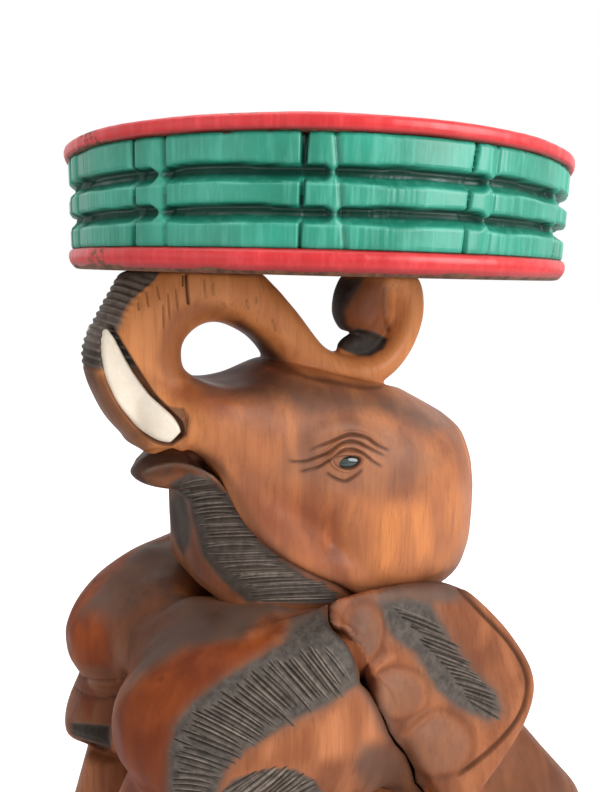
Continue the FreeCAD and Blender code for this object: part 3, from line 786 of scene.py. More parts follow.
MOUTH_WARM = [(188, 453), (206, 459), (219, 467), (235, 486), (229, 492), (217, 477), (202, 468), (190, 463)]
FRONT_BLACK = [(119, 268), (160, 272), (152, 283), (132, 299), (114, 320), (109, 330), (103, 334), (100, 344),
    (97, 352), (78, 350), (78, 322), (97, 301), (111, 272)]
FRONT_BROWN = [(78, 346), (99, 348), (100, 375), (109, 396), (118, 416), (132, 433), (148, 445), (132, 457),
    (78, 383)]
# The loop's inner wall: brown that is part stain and part painted shade
LOOP_WALL_STAIN_AND_SHADE = [(197, 301), (173, 311), (162, 332), (156, 359), (167, 383), (187, 379), (182, 346), (191, 326),
    (206, 318), (226, 322), (255, 346), (263, 363), (288, 374), (298, 369), (267, 348), (241, 318), (218, 304)]
# Painted shade under the loop's arch
LOOP_UNDERSIDE_SHADE = [(230, 320), (247, 336), (261, 361), (288, 375), (298, 371), (276, 352), (255, 330), (241, 320)]
TOP_CRACK = [(186, 272), (187, 289), (189, 306)]
TOP_CRACK_2 = [(183, 274), (183, 287)]
CHIPS = [
    [(146, 291), (149, 308)],
    [(168, 292), (170, 322)],
    [(176, 288), (178, 312)],
    [(163, 304), (164, 330)],
    [(204, 278), (206, 300)],
    [(213, 282), (214, 296)],
    [(272, 318), (276, 332)],
    [(157, 285), (160, 301)],
    [(222, 302), (227, 309)],
    [(247, 298), (248, 310)],
    [(256, 297), (257, 304)],
    [(138, 301), (139, 311)],
]
SOCKET = [(164, 406), (177, 408), (183, 408), (188, 416), (188, 426), (182, 437), (177, 441), (179, 429),
    (173, 417)]
SOCKET_LIP = [(189, 408), (193, 422), (190, 440), (178, 452), (160, 455), (142, 446), (128, 433)]
# Painted highlight: the lit side of the trunk's rising arm in the light wood colour
ARM_UP_LIT_SIDE = [(392, 275), (425, 275), (426, 340), (405, 378), (380, 384), (396, 345)]
TIP_SEAM = [(385, 284), (384, 308), (388, 334)]
# Painted shade in the pocket between the tip's bulge and the U
POCKET_SHADE = [(335, 345), (346, 332), (358, 328), (374, 332), (388, 339), (383, 349), (370, 356), (358, 356),
    (345, 351)]
# Painted shade on the tip's side turned from the light
TIP_SHADE = [(339, 278), (364, 278), (356, 293), (345, 311), (348, 324), (358, 331), (346, 334), (331, 322),
    (329, 305), (335, 289)]
TIP_BULGE = [(345, 278), (384, 278), (388, 310), (386, 338), (356, 338), (342, 318)]
TIP_WARM = [(358, 283), (378, 283), (384, 301), (384, 326), (378, 336), (358, 330), (348, 320), (348, 305)]
# Painted shade on the underside of the trunk's U
U_UNDERSIDE_SHADE = [(362, 394), (354, 381), (378, 381), (403, 363), (407, 371), (391, 392)]
# Painted shade in the crease where the trunk rests on the crown
CONTACT_SHADE = [(255, 359), (276, 367), (296, 373), (313, 379), (337, 383), (364, 389), (389, 386)]
HATCH_STAIN = [(319, 610), (343, 638), (356, 662), (359, 684), (343, 693), (325, 705), (294, 720), (264, 739),
    (239, 754), (224, 772), (215, 797), (169, 797), (169, 754), (175, 726), (194, 702), (221, 681), (252, 662),
    (282, 644), (301, 622)]
HATCH_FROM = [(325, 641), (316, 644), (291, 644), (264, 659), (239, 674), (218, 690), (200, 702), (181, 717),
    (171, 736), (169, 754), (169, 772), (172, 794)]
HATCH_TO = [(351, 678), (334, 693), (310, 711), (285, 723), (264, 734), (246, 748), (233, 758), (224, 768),
    (217, 777), (209, 784), (204, 795)]
CRACK_HAZE = [(291, 613), (331, 603), (339, 632), (356, 659), (337, 662), (310, 641), (282, 641)]
LOW_STAIN = [(217, 797), (233, 780), (264, 770), (294, 769), (316, 781), (325, 797)]
LOW_FROM = [(261, 768), (279, 766), (298, 766), (310, 774), (320, 784)]
LOW_TO = [(221, 789), (239, 795), (261, 797), (279, 797), (294, 797)]
ARM_LIGHT = [(239, 754), (282, 729), (319, 720), (356, 690), (368, 693), (386, 736), (359, 754), (325, 760),
    (294, 766), (258, 768), (233, 775)]
ARM_DARK = [(362, 745), (389, 745), (408, 766), (414, 797), (368, 797), (356, 766)]
# A painted orange highlight on the near shoulder's left
SHOULDER_HIGHLIGHT = [(108, 723), (123, 696), (151, 668), (178, 653), (215, 641), (246, 641), (282, 626), (264, 653),
    (221, 678), (194, 696), (172, 723), (166, 754), (169, 797), (123, 797), (108, 772)]
CHEST_BROWN = [(172, 595), (221, 600), (325, 601), (334, 607), (294, 612), (264, 616), (239, 638), (184, 647),
    (142, 674), (123, 693), (142, 647), (166, 622)]
KNOT = [(157, 680), (164, 678)]
CRACK = [(335, 598), (328, 606), (329, 621), (332, 629), (343, 638), (350, 647), (355, 658), (360, 672),
    (361, 682), (370, 693), (378, 707), (384, 721), (389, 733), (396, 744), (406, 754), (412, 767), (415, 782),
    (424, 792)]
# A painted orange highlight on the far shoulder
FAR_SHOULDER_HIGHLIGHT = [(65, 619), (90, 586), (113, 577), (114, 641), (113, 668), (78, 665), (62, 638)]
FAR_DARK = [(115, 577), (178, 546), (181, 601), (166, 641), (142, 662), (123, 687), (115, 684)]
FAR_HAZE = [(114, 577), (150, 562), (168, 572), (150, 600), (128, 616), (113, 622)]
FAR_WRIST = [(58, 664), (118, 664), (118, 730), (60, 730)]
FAR_FOLDS = [
    [(71, 674), (84, 680), (99, 682), (119, 681)],
    [(71, 686), (84, 696), (102, 700), (120, 696)],
]
# Painted shade under the far foot and wrist
FAR_FOOT_SHADE = [(68, 723), (110, 727), (110, 751), (87, 751), (68, 739)]
HAUNCH = [(526, 726), (590, 792), (610, 810), (500, 810), (478, 778), (500, 752)]
EAR_LOBES = [(363, 632), (398, 694), (436, 744)]
LOBE_SIZES = [(19, 28), (28, 24), (34, 30)]
EAR_RIDGES = [
    [(366, 683), (374, 671), (385, 661), (397, 654)],
    [(401, 739), (414, 726), (426, 716), (437, 709)],
]
EAR_GROOVE = [(449, 578), (478, 610), (501, 633), (518, 655), (527, 676), (527, 699), (516, 723), (490, 751),
    (453, 780)]
EAR_HAZE = [(372, 596), (392, 584), (440, 572), (466, 580), (458, 600), (430, 606), (396, 612), (380, 612)]
EAR_STAIN = [(380, 603), (404, 598), (430, 603), (451, 640), (471, 670), (496, 692), (502, 712), (488, 720),
    (461, 709), (436, 689), (416, 654), (390, 634)]
EAR_FROM = [(383, 602), (404, 622), (424, 646), (448, 680), (470, 702)]
EAR_TO = [(436, 622), (460, 652), (482, 680), (501, 704), (498, 720)]


# Which value each place brings up, how far, and how soft its edge is
HEAD_TINTS = (
    # Brown in the loop's wall is part stain and part painted shade
    ("brown", FRONT_BROWN, 0.9, 8), ("brown", LOOP_WALL_STAIN_AND_SHADE, 0.3, 5), ("warm", LOOP_WALL_STAIN_AND_SHADE, 0.45, 9),
    # Painted shade under the loop's arch, and a painted highlight on the lit side of the trunk's rising arm
    ("brown", LOOP_UNDERSIDE_SHADE, 0.95, 5), ("brown", TIP_BULGE, 0.5, 8), ("light", ARM_UP_LIT_SIDE, 1.0, 8),
    # Painted shade in the pocket under the tip
    ("warm", TIP_BULGE, 0.7, 8), ("stain_and_shade", POCKET_SHADE, 1.0, 3), ("brown", POCKET_SHADE, 1.0, 4),
    # Painted shade on the tip's side turned from the light
    ("stain_and_shade", TIP_SHADE, 0.95, 9), ("brown", TIP_SHADE, 1.0, 14), ("warm", TIP_WARM, 0.7, 6),
    # Painted shade on the underside of the trunk's U
    ("brown", U_UNDERSIDE_SHADE, 0.35, 10), ("haze", SOCKET, 0.6, 2), ("brown", SOCKET, 0.5, 2),
    # The crown's grey haze is part painted sheen
    ("haze", CROWN_HAZE_AND_SHEEN, 0.68, 12), ("brown", CROWN_BROWN, 0.3, 10), ("haze", EYE_HAZE, 0.36, 14),
    # Paler wood with a painted highlight on the cheek, and a painted highlight on the forehead
    ("light", CHEEK_PALE_WOOD_AND_HIGHLIGHT, 0.85, 16), ("light", FOREHEAD_HIGHLIGHT, 0.3, 16), ("warm", ROOT_WARM, 0.7, 10),
    ("warm", CHEEK_WARM, 0.5, 16), ("brown", CHEEK_LOW, 0.6, 12),
)
THROAT_TINTS = (
    ("stain_and_shade", THROAT_STAIN, 1.0, 7), ("warm", THROAT_WARM, 0.9, 5), ("stain_and_shade", THROAT_FRONT, 0.7, 6),
    ("brown", THROAT_FRONT, 1.0, 6), ("warm", MOUTH_WARM, 0.6, 4), ("brown", LIP_DARK, 1.0, 4),
    ("stain_and_shade", LIP_DARK, 0.45, 4),
)
SHOULDER_TINTS = (
    # A painted orange highlight on the near shoulder
    ("warm", SHOULDER_HIGHLIGHT, 0.95, 9), ("brown", SHOULDER_HIGHLIGHT, 0.22, 9), ("light", ARM_LIGHT, 0.95, 10),
    ("haze", ARM_DARK, 0.7, 10), ("haze", CRACK_HAZE, 0.95, 7), ("haze", HATCH_STAIN, 1.0, 15),
    ("stain_and_shade", HATCH_STAIN, 1.0, 9), ("stain_and_shade", LOW_STAIN, 1.0, 6),
)
EAR_TINTS = (("haze", EAR_HAZE, 0.8, 7), ("haze", EAR_STAIN, 0.9, 14), ("stain_and_shade", EAR_STAIN, 1.0, 11))
FAR_TINTS = (
    # A painted orange highlight on the far shoulder
    ("warm", FAR_SHOULDER_HIGHLIGHT, 0.85, 3), ("brown", FAR_DARK, 0.85, 20), ("brown", FAR_WRIST, 0.5, 8),
    # Painted shade under the far foot
    ("haze", FAR_HAZE, 0.7, 9), ("stain_and_shade", FAR_FOOT_SHADE, 1.0, 5), ("brown", FAR_FOOT_SHADE, 1.0, 5),
)

# Figure
SIDES = {"left": -1, "right": 1}
VALUES = ("stain_and_shade", "haze", "light", "warm", "brown", "edge", "tan")
FRONT_LOW = 352.0
FOLD_PITCH = 3.9


class Carver:
    """Draws on a surface where the photograph shows it, and on the other side alike."""

    def __init__(self, points, normals, near=True):
        self.place = picture_place(points, near)
        self.square = facing(points, normals, near)
        self.side = step(-0.06, 0.08, self.square)
        self.values = {k: np.zeros(len(points)) for k in VALUES}
        self.rise = np.zeros(len(points))

    def close(self, path, pad):
        """Numbers of the points near a path."""
        path = np.asarray(path, float)
        inside = (self.place > path.min(0) - pad) & (self.place < path.max(0) + pad)
        return np.nonzero(inside.all(1) & (self.side > 0))[0]

    def put(self, key, chosen, share):
        """Brings a value up to a share at the chosen points, on the sides that the camera sees."""
        self.values[key][chosen] = np.maximum(self.values[key][chosen], share * self.side[chosen])

    def least(self, key, share):
        """Brings a value up to a share at every point."""
        self.values[key] = np.maximum(self.values[key], share)

    def inside(self, outline, soft):
        """The points in an outline, and how far in they are."""
        i = self.close(outline, soft)
        return i, region(self.place[i], outline, soft)

    def tint(self, key, outline, amount, soft):
        i, share = self.inside(outline, soft)
        self.put(key, i, share * amount)

    def tints(self, rows):
        for row in rows:
            self.tint(*row)

    def sink(self, outline, depth, soft=2.0):
        i, share = self.inside(outline, soft)
        self.rise[i] -= depth * share * self.side[i]

    def along(self, path, width, ends):
        """The points near a path, and a share that falls off to its sides and towards its ends."""
        path = rounded(path)
        i = self.close(path, 3 * width)
        gap, way = path_gap(self.place[i], path)
        fade = step(0, ends, way) * step(0, ends, 1 - way) if ends else 1
        return i, np.exp(-(gap / width) ** 2) * fade

    def line(self, key, path, amount, width, ends=0.08):
        i, share = self.along(path, width, ends)
        self.put(key, i, amount * share)

    def groove(self, path, width, depth, ends=0.15, key=None, amount=0.8):
        """A rounded groove along a path, shallow at its ends, or a ridge where the depth is negative."""
        i, share = self.along(path, width, ends)
        self.rise[i] -= depth * share * self.side[i]
        if key:
            self.line(key, path, amount, width * 1.3)

    def hatch(self, starts, ends, count, width, depth, seed, glint):
        """Gouge strokes from one path to another, with a painted highlight beside each and stain in it."""
        rng = np.random.default_rng(seed)
        low = np.zeros(len(self.rise))
        for k in range(count):
            share = (k + 0.5 + rng.uniform(-0.3, 0.3)) / count
            a = along_path(starts, share)
            b = along_path(ends, np.clip(share + rng.uniform(-0.3, 0.3) / count, 0, 1))
            trim_a, trim_b = rng.uniform(-0.02, 0.2), rng.uniform(-0.2, 0.08)
            a, b = a + (b - a) * trim_a, b + (a - b) * trim_b
            bow = rng.uniform(-1.6, 1.6)
            i = self.close((a, b), 4 * width + 2)
            if not len(i):
                continue
            d = b - a
            length = np.linalg.norm(d)
            q = self.place[i] - a
            t = q @ d / length ** 2
            aside = (q[:, 0] * d[1] - q[:, 1] * d[0]) / length + bow * 4 * t * (1 - t)
            fade = step(0, 0.1, t) * step(0, 0.22, 1 - t)
            wide = width * (0.5 + 0.5 * np.sin(np.pi * np.clip(t, 0.05, 0.95)))
            low[i] = np.minimum(low[i], -depth * rng.uniform(0.7, 1.2) * np.exp(-(aside / wide) ** 2) * fade)
            self.put("stain_and_shade", i, np.exp(-(aside / (1.3 * wide)) ** 2) * fade * 0.95)
            self.put("brown", i, np.exp(-(aside / (1.1 * wide)) ** 2) * fade)
            spike = 1.2 + 2.2 * step(1.0, 0.5, t)
            self.put("stain_and_shade", i, np.exp(-(aside / spike) ** 2) * step(0.3, 0.6, t) * step(0, 0.1, 1 - t))
            # A painted highlight along each stroke's lit flank
            bright = glint * rng.uniform(0.35, 1.1)
            self.put("edge", i, bright * np.exp(-((aside - 1.5 * wide) / (0.7 * wide)) ** 2) * fade)
        self.rise += low * self.side


def plain(points, normals):
    """A plain carved surface."""
    return 0.25 * wobble(points, 40, 5), {k: np.zeros(len(points)) for k in VALUES}


def carve_head(points, normals):
    """The head and the trunk, whose surfaces run on into each other."""
    c = Carver(points, normals)
    x, y, z = points.T
    # The dark front of the trunk, with its folds
    i, front = c.inside(FRONT_BLACK, 3)
    c.put("stain_and_shade", i, front)
    front_face = step(-104, -112, x) * step(22, 17, np.abs(y)) * step(FRONT_LOW - 4, FRONT_LOW + 4, z)
    c.least("stain_and_shade", 0.95 * front_face)
    climb = (z + 0.35 * (x + 120)) / FOLD_PITCH
    ripple = np.sin(2 * np.pi * climb + 0.5 * np.sin(y / 7) + 0.35 * np.sin(z / 5))
    folds = np.maximum(front_face, c.values["stain_and_shade"]) * step(399, 391, z)
    c.rise += folds * (0.48 * ripple - 0.3)
    # Painted highlight on the crests of the trunk's folds
    c.least("edge", folds * 0.28 * step(0.3, 1.0, ripple))
    low_front = step(-104, -114, x) * step(FRONT_LOW + 4, FRONT_LOW - 6, z) * step(26, 18, np.abs(y))
    c.least("brown", 0.8 * low_front)
    # The loop and the tip
    for crack in CHIPS:
        c.groove(crack, 0.9, 0.5, 0.3, "brown", 0.55)
    c.groove(TOP_CRACK, 1.3, 1.3, 0.1, "brown", 1.0)
    c.groove(TOP_CRACK_2, 0.9, 0.8, 0.1, "brown", 0.9)
    c.groove(TIP_SEAM, 2.2, 1.3, 0.15, "brown", 0.7)
    # Painted shade in the crease where the trunk rests on the crown
    c.line("brown", CONTACT_SHADE, 0.9, 3.0)
    # The tusk's groove and socket
    gap = tusk_gap(points)
    beside = step(12, 18, np.abs(y))
    c.rise -= 2.6 * step(1.0, 0.2, gap) * beside
    c.least("brown", step(2.2, 0.6, gap) * beside)
    c.sink(SOCKET, 1.5)
    c.groove(SOCKET_LIP, 4.0, -1.6, 0.25)
    # The eye, between two lids that sag a little
    u, v = (c.place - EYE_AT).T / np.array(LID_SIZE)[:, None]
    lid = np.hypot(u, v + LID_SAG * u ** 2)
    c.rise += (0.9 * np.exp(-((lid - 1.3) / 0.22) ** 2) - 2.6 * step(1.06, 0.9, lid)) * c.side
    c.least("brown", 0.85 * np.exp(-((lid - 1.0) / 0.16) ** 2) * c.side)
    c.groove(BROW, 9.0, -1.3, 0.25)
    c.groove(UNDER_EYE, 9.0, -0.8, 0.25)
    for wrinkle in WRINKLES[:3]:
        c.groove(wrinkle, 1.4, 1.3, 0.3, "brown", 0.9)
        c.groove(np.array(wrinkle) - (0, 3.0), 1.5, -0.6, 0.3)
    c.groove(WRINKLES[3], 1.5, 1.3, 0.3, "brown", 0.9)
    c.line("brown", JAW_EDGE, 0.6, 5, 0)
    c.tints(HEAD_TINTS)
    # Where the two meet the colour changes slowly
    c.values["tan"] = np.maximum(step(-80, -100, x), step(336, 346, z + 0.24 * x))
    # Upward faces of the unseen top and back get the crown's grey haze, part smoke and part painted sheen
    top = step(0.25, 0.8, normals[:, 2]) * step(-80, -40, x) * step(344, 334, z + 0.24 * x)
    c.least("haze", 0.3 * top)
    c.rise += 0.25 * wobble(points, 34, 7)
    return c.rise, c.values


def carve_throat(points, normals):
    """The hatched throat and the lower lip."""
    c = Carver(points, normals)
    c.least("brown", 0.7)
    c.hatch(THROAT_FROM, THROAT_TO, 40, 1.1, 1.0, 3, 0.8)
    c.sink(MOUTH_WARM, 2.2, 3)
    c.groove(LIP_RIM, 2.2, -1.0, 0.1)
    # Painted highlight along the lip's rim
    c.line("edge", LIP_RIM, 0.35, 1.6)
    c.tints(THROAT_TINTS)
    c.least("stain_and_shade", 0.5 * step(0.2, 0.8, normals[:, 2]) * step(-96, -102, points[:, 0]))
    c.rise += 0.2 * wobble(points, 30, 9)
    return c.rise, c.values


def carve_shoulder(c):
    """The near foreleg's stains and strokes."""
    c.tints(SHOULDER_TINTS)
    c.hatch(HATCH_FROM, HATCH_TO, 46, 1.25, 1.2, 5, 1.0)
    c.hatch(LOW_FROM, LOW_TO, 13, 1.3, 1.1, 7, 1.0)
    c.groove(KNOT, 1.5, 0.8, 0, "brown", 0.9)


def carve_ear(c):
    """The ear's lobes, ridges, rim and strokes."""
    for lobe, size in zip(EAR_LOBES, LOBE_SIZES):
        r = np.hypot(*((c.place - lobe) / size).T)
        c.rise += (3.4 * step(1.2, 0.1, r) - 0.4 * np.exp(-((r - 1.1) / 0.16) ** 2)) * c.side
        c.put("haze", slice(None), (0.6 if lobe is EAR_LOBES[0] else 0.42) * step(1.05, 0.75, r))
        c.put("light", slice(None), 0.6 * step(1.1, 0.7, r))
        # Painted shade: a brown ring round each lobe where it dips
        c.put("brown", slice(None), 0.4 * np.exp(-((r - 1.14) / 0.12) ** 2))
    for path in EAR_RIDGES:
        c.groove(path, 2.6, -1.2, 0.3)
        c.line("light", path, 0.6, 4.0)
    c.groove(EAR_GROOVE, 1.7, 1.7, 0.04, "brown", 1.0)
    c.groove(np.array(EAR_GROOVE, float) + (5, 2), 4.0, -0.9, 0.1)
    c.tints(EAR_TINTS)
    c.hatch(EAR_FROM, EAR_TO, 20, 1.3, 1.1, 9, 0.6)


def carve_far(points, normals, c):
    """The far foreleg's front and the chest, which the photograph shows from inside."""
    f = Carver(points, normals, near=False)
    far = points[:, 1] > -36
    f.tints(FAR_TINTS)
    f.sink(FAR_FOOT_SHADE, 3.5, 4)
    for path in FAR_FOLDS:
        f.groove(path, 1.8, 1.4, 0.05, "brown", 0.9)
    for key in VALUES:
        c.values[key] = np.where(far, np.maximum(f.values[key], c.values[key]), c.values[key])
    c.rise += np.where(far, f.rise, 0)


def carve_flank(kind, points, normals):
    """The body's pieces, each by its kind."""
    c = Carver(points, normals)
    if kind == "ear":
        carve_ear(c)
    elif kind == "foreleg":
        carve_shoulder(c)
    elif kind == "hind":
        c.tint("brown", HAUNCH, 0.6, 10)
    c.tint("brown", CHEST_BROWN, 0.08, 8)
    c.tint("haze", CHEST_BROWN, 0.95, 8)
    if kind in ("ear", "foreleg"):
        c.line("brown", CRACK, 1.0, 4.2, 0.02)
        c.line("haze", CRACK, 0.6, 9, 0.02)
    if kind in ("body", "foreleg"):
        carve_far(points, normals, c)
    # Brown in patches on the faces that turn away from the near view
    unseen = 1 - step(-0.1, 0.25, c.square)
    c.least("brown", 0.5 * step(0.15, 0.7, wobble(points, 90, 13)) * unseen)
    c.rise += 0.3 * wobble(points, 46, 11)
    return c.rise, c.values


# The crease in front of the ear, and the jaw's lower edge, as x and z
CREASE = ((-29.2, 220.0), (31.0, 91.0))
JAW_CURVE = [(-104, 309.5), (-91.6, 309.2), (-85.7, 305.7), (-79.7, 298.4), (-74.8, 288.8), (-70.5, 277.0),
    (-65.5, 266.6), (-57.3, 255.8), (-46.4, 245.5), (-25.5, 231.7), (-7.5, 222.3), (12, 210), (60, 190)]


def ear_side(x, z):
    """How far points are behind the crease in front of the ear."""
    (x0, z0), (x1, z1) = CREASE
    length = math.hypot(x1 - x0, z1 - z0)
    return (-(z1 - z0) * (x - x0) + (x1 - x0) * (z - z0)) / length


def path_side(q, path):
    """Distance from a path, positive on its left as it runs down the picture, in its own units."""
    gap, _ = path_gap(q, path)
    path = np.array(path, float)
    order = np.argsort(path[:, 1])
    return gap * np.sign(q[:, 0] - np.interp(q[:, 1], path[order, 1], path[order, 0]))


def spread(lattice, chosen):
    """The lattice's points where chosen is set, as rows."""
    i, j, k = np.nonzero(chosen)
    return np.stack((lattice.x.ravel()[i], lattice.y.ravel()[j], lattice.z.ravel()[k]), 1).astype(float)


TUSK_PLAN = {}


def tusk_gap(points):
    """Distance from a tusk's outline, seen from the side, negative inside it."""
    lattice, flat = TUSK_PLAN["lattice"], TUSK_PLAN["flat"]
    u = points[:, 0] / lattice.voxel - lattice.start[0]
    w = points[:, 2] / lattice.voxel - lattice.start[2]
    out = (u < 0) | (w < 0) | (u > flat.shape[0] - 1.01) | (w > flat.shape[1] - 1.01)
    u, w = np.clip(u, 0, flat.shape[0] - 1.01), np.clip(w, 0, flat.shape[1] - 1.01)
    i, k = u.astype(int), w.astype(int)
    f, g = u - i, w - k
    value = (flat[i, k] * (1 - f) * (1 - g) + flat[i + 1, k] * f * (1 - g)
             + flat[i, k + 1] * (1 - f) * g + flat[i + 1, k + 1] * f * g)
    return np.where(out, 99.0, value)


def make_head_and_trunk():
    """Head, trunk and throat, carved as one and split where the photograph shows it."""
    fine = Lattice(["tusk_left"], 0.6, 6.0)
    TUSK_PLAN.update(lattice=fine, flat=fine.solid("tusk_left").min(1))

    lattice = Lattice(["head", "trunk", "neck_and_jaw"], 1.2)
    x, y, z = lattice.x, lattice.y, lattice.z
    head, trunk, neck = lattice.solid("head"), lattice.solid("trunk"), lattice.solid("neck_and_jaw")
    # Brows that the eyes sit in
    for side in SIDES.values():
        head = join(head, ball(lattice, (-12.4, 46.5 * side, 297.5), (14, 6.5, 12)), 3)
    # A smooth way from the narrow trunk to the wide head
    head = join(head, tube(lattice, [(-93, 0, 323, 27), (-76, 0, 318, 34), (-50, 0, 308, 40)]), 9)
    # The trunk's front narrows, and its tip is filled up to the seat
    for side in SIDES.values():
        plane = -0.8319 * x + 0.2618 * side * y + 0.4893 * z - (294.56 if side > 0 else 297.0)
        trunk = -join(-trunk, -plane, 5)
    trunk = join(trunk, tube(lattice, [(46, 0, 396, 12), (48, 0, 378, 11), (45, 0, 368, 9)]), 5)
    trunk = join(trunk, ball(lattice, (38, 0, 355), (19, 6, 9)), 3)
    # The jaw hangs a little over the throat, down to its own curve
    curve_z = np.interp(x.ravel(), *np.array(JAW_CURVE).T)[:, None, None]
    below = (curve_z - z) * 0.75
    skirt = np.maximum(np.maximum(blur(neck, 8) - 2.2, below), -104 - x)
    head = np.maximum(join(head, skirt, 22), 200.4 - z)
    head = both_of(head, picture_plane(x, y, z, (478, 420), (476, 545)), 16)
    head_only = np.maximum(head, below - 4 * step(-20, 20, x))
    both = blur(join(head_only, trunk, 1.5), 3)
    # The tusks' roots melt into the head
    part = (slice(*np.searchsorted(x.ravel(), (-132, -40))), slice(None),
            slice(*np.searchsorted(z.ravel(), (276, 376))))
    place = np.sqrt((x + 86) ** 2 / 30 ** 2 + (z - 326) ** 2 / 34 ** 2)
    share = step(1.25, 0.5, place)[part]
    both[part] = both[part] * (1 - share) + blur(both[part], 36) * share
    # The opening under the trunk reaches down to its root
    opening = (np.sqrt(((x + 63) / 25) ** 2 + ((z - 353) / 13.5) ** 2) - 1) * 13.5
    both = cut(both, opening, 8)
    # The throat, its lip hollow above like a spoon
    bowl = ball(lattice, (-96, 0, 309), (28, 19, 13), 14)
    throat = cut(blur(neck, 3), bowl, 2.5)
    throat = join(throat, ball(lattice, (-86, 0, 300), (18, 18, 9)), 9)
    for a, b in (((174, 530), (190, 577)), ((190, 577), (216, 597))):
        throat = both_of(throat, -picture_plane(x, y, z, a, b) - 3 * np.maximum(z - 258, 0), 5)
    for near in (True, False):
        throat = both_of(throat, -picture_plane(x, y, z, (151, 445), (127, 471), near), 3)
    both = np.maximum(both, z - SEAT_UNDER)
    overlap = 1.0
    to_trunk = np.clip(trunk - np.maximum(head, -88 - x), -REACH, REACH) / 2
    trunk_field, head_field = np.maximum(both, to_trunk - overlap), np.maximum(both, -to_trunk - overlap)
    pieces = (
        ("trunk_carving", trunk_field, carve_head, fine_trunk, "trunk_wood", "trunk"),
        ("head_carving", head_field, carve_head, fine_head, "head_wood", "head"),
        ("throat_and_lip", np.maximum(throat, throat - both - 1), carve_throat, fine_throat, "head_wood",
         "neck_and_jaw"),
    )
    for name, field, detail, wanted, slot, node in pieces:
        dress(sculpt(name, lattice, field.astype(np.float32), detail, wanted, 2), FIGURE_WOOD, slot, node)
    make_tusks(lattice, both, fine)
    make_eyes(lattice, both)


def make_eyes(lattice, figure):
    """Glass beads set behind the lids."""
    near_eye = np.array([(-11.5, 52.5 * side, 297.5) for side in SIDES.values()])
    lids, out = settle(lattice, figure, near_eye)
    for word, place, normal in zip(SIDES, lids, out):
        turn = math.degrees(math.atan2(-normal[0], normal[1])) % 180
        turn = turn - 180 if turn > 90 else turn
        grid = Lattice([f"eye_{word}"], 0.4, 8.0)
        eye = ball(grid, place - 3.7 * normal + (2.3, 0, 0), (9.4, 3.5, 4.8), turn, "Z")
        bead = sculpt(f"eye_bead_{word}", grid, eye.astype(np.float32), lambda p, n: (0 * p[:, 0], {}))
        dress(bead, GLASS, "eye_glass", f"eye_{word}")


def make_tusks(lattice, figure, fine):
    """Tusks that lie flush in their grooves."""
    skin = lattice.sample(figure, spread(fine, np.ones(fine.shape, bool))).reshape(fine.shape)
    flat = TUSK_PLAN["flat"][:, None, :] + 0.5
    field = -join(-flat, 0.7 - skin, 3.0)
    field = blur(np.maximum(field, np.maximum(-skin - 6.0, fine.y + 12)).astype(np.float32), 2)
    points, quads = fine.quads(field)
    points, normals = settle(fine, field, points.astype(float))
    points = points + normals * 0.2 * wobble(points, 14, 3)[:, None]
    for word, side in SIDES.items():
        facing_out = quads[:, ::-1] if side < 0 else quads
        unworn = {"worn": np.zeros(len(points))}
        tusk = mesh_object(f"tusk_inlay_{word}", points * (1, -side, 1), facing_out, (), unworn)
        dress(tusk, IVORY, "tusk_ivory_paint", f"tusk_{word}")


def fine_trunk(middles):
    """Where the trunk needs small faces: its folds and the tusks' grooves."""
    q = picture_place(middles)
    front = (q[:, 0] < 205) & (q[:, 1] < 460)
    return (front & (q[:, 0] > 70)) | (tusk_gap(middles) < 4)


def fine_head(middles):
    q = picture_place(middles)
    return region(q, [(278, 428), (398, 428), (398, 488), (278, 488)], 1) > 0.5


def fine_throat(middles):
    return region(picture_place(middles), THROAT_STAIN, 4) > 0.1


def fine_flank(middles):
    q = picture_place(middles)
    out = np.abs(middles[:, 1]) > 35
    near = np.zeros(len(q), bool)
    for outline in (HATCH_STAIN, LOW_STAIN, EAR_STAIN):
        near |= region(q, outline, 6) > 0.1
    gap, _ = path_gap(q, EAR_GROOVE)
    crack, _ = path_gap(q, CRACK)
    return out & (near | (gap < 6) | (crack < 4))


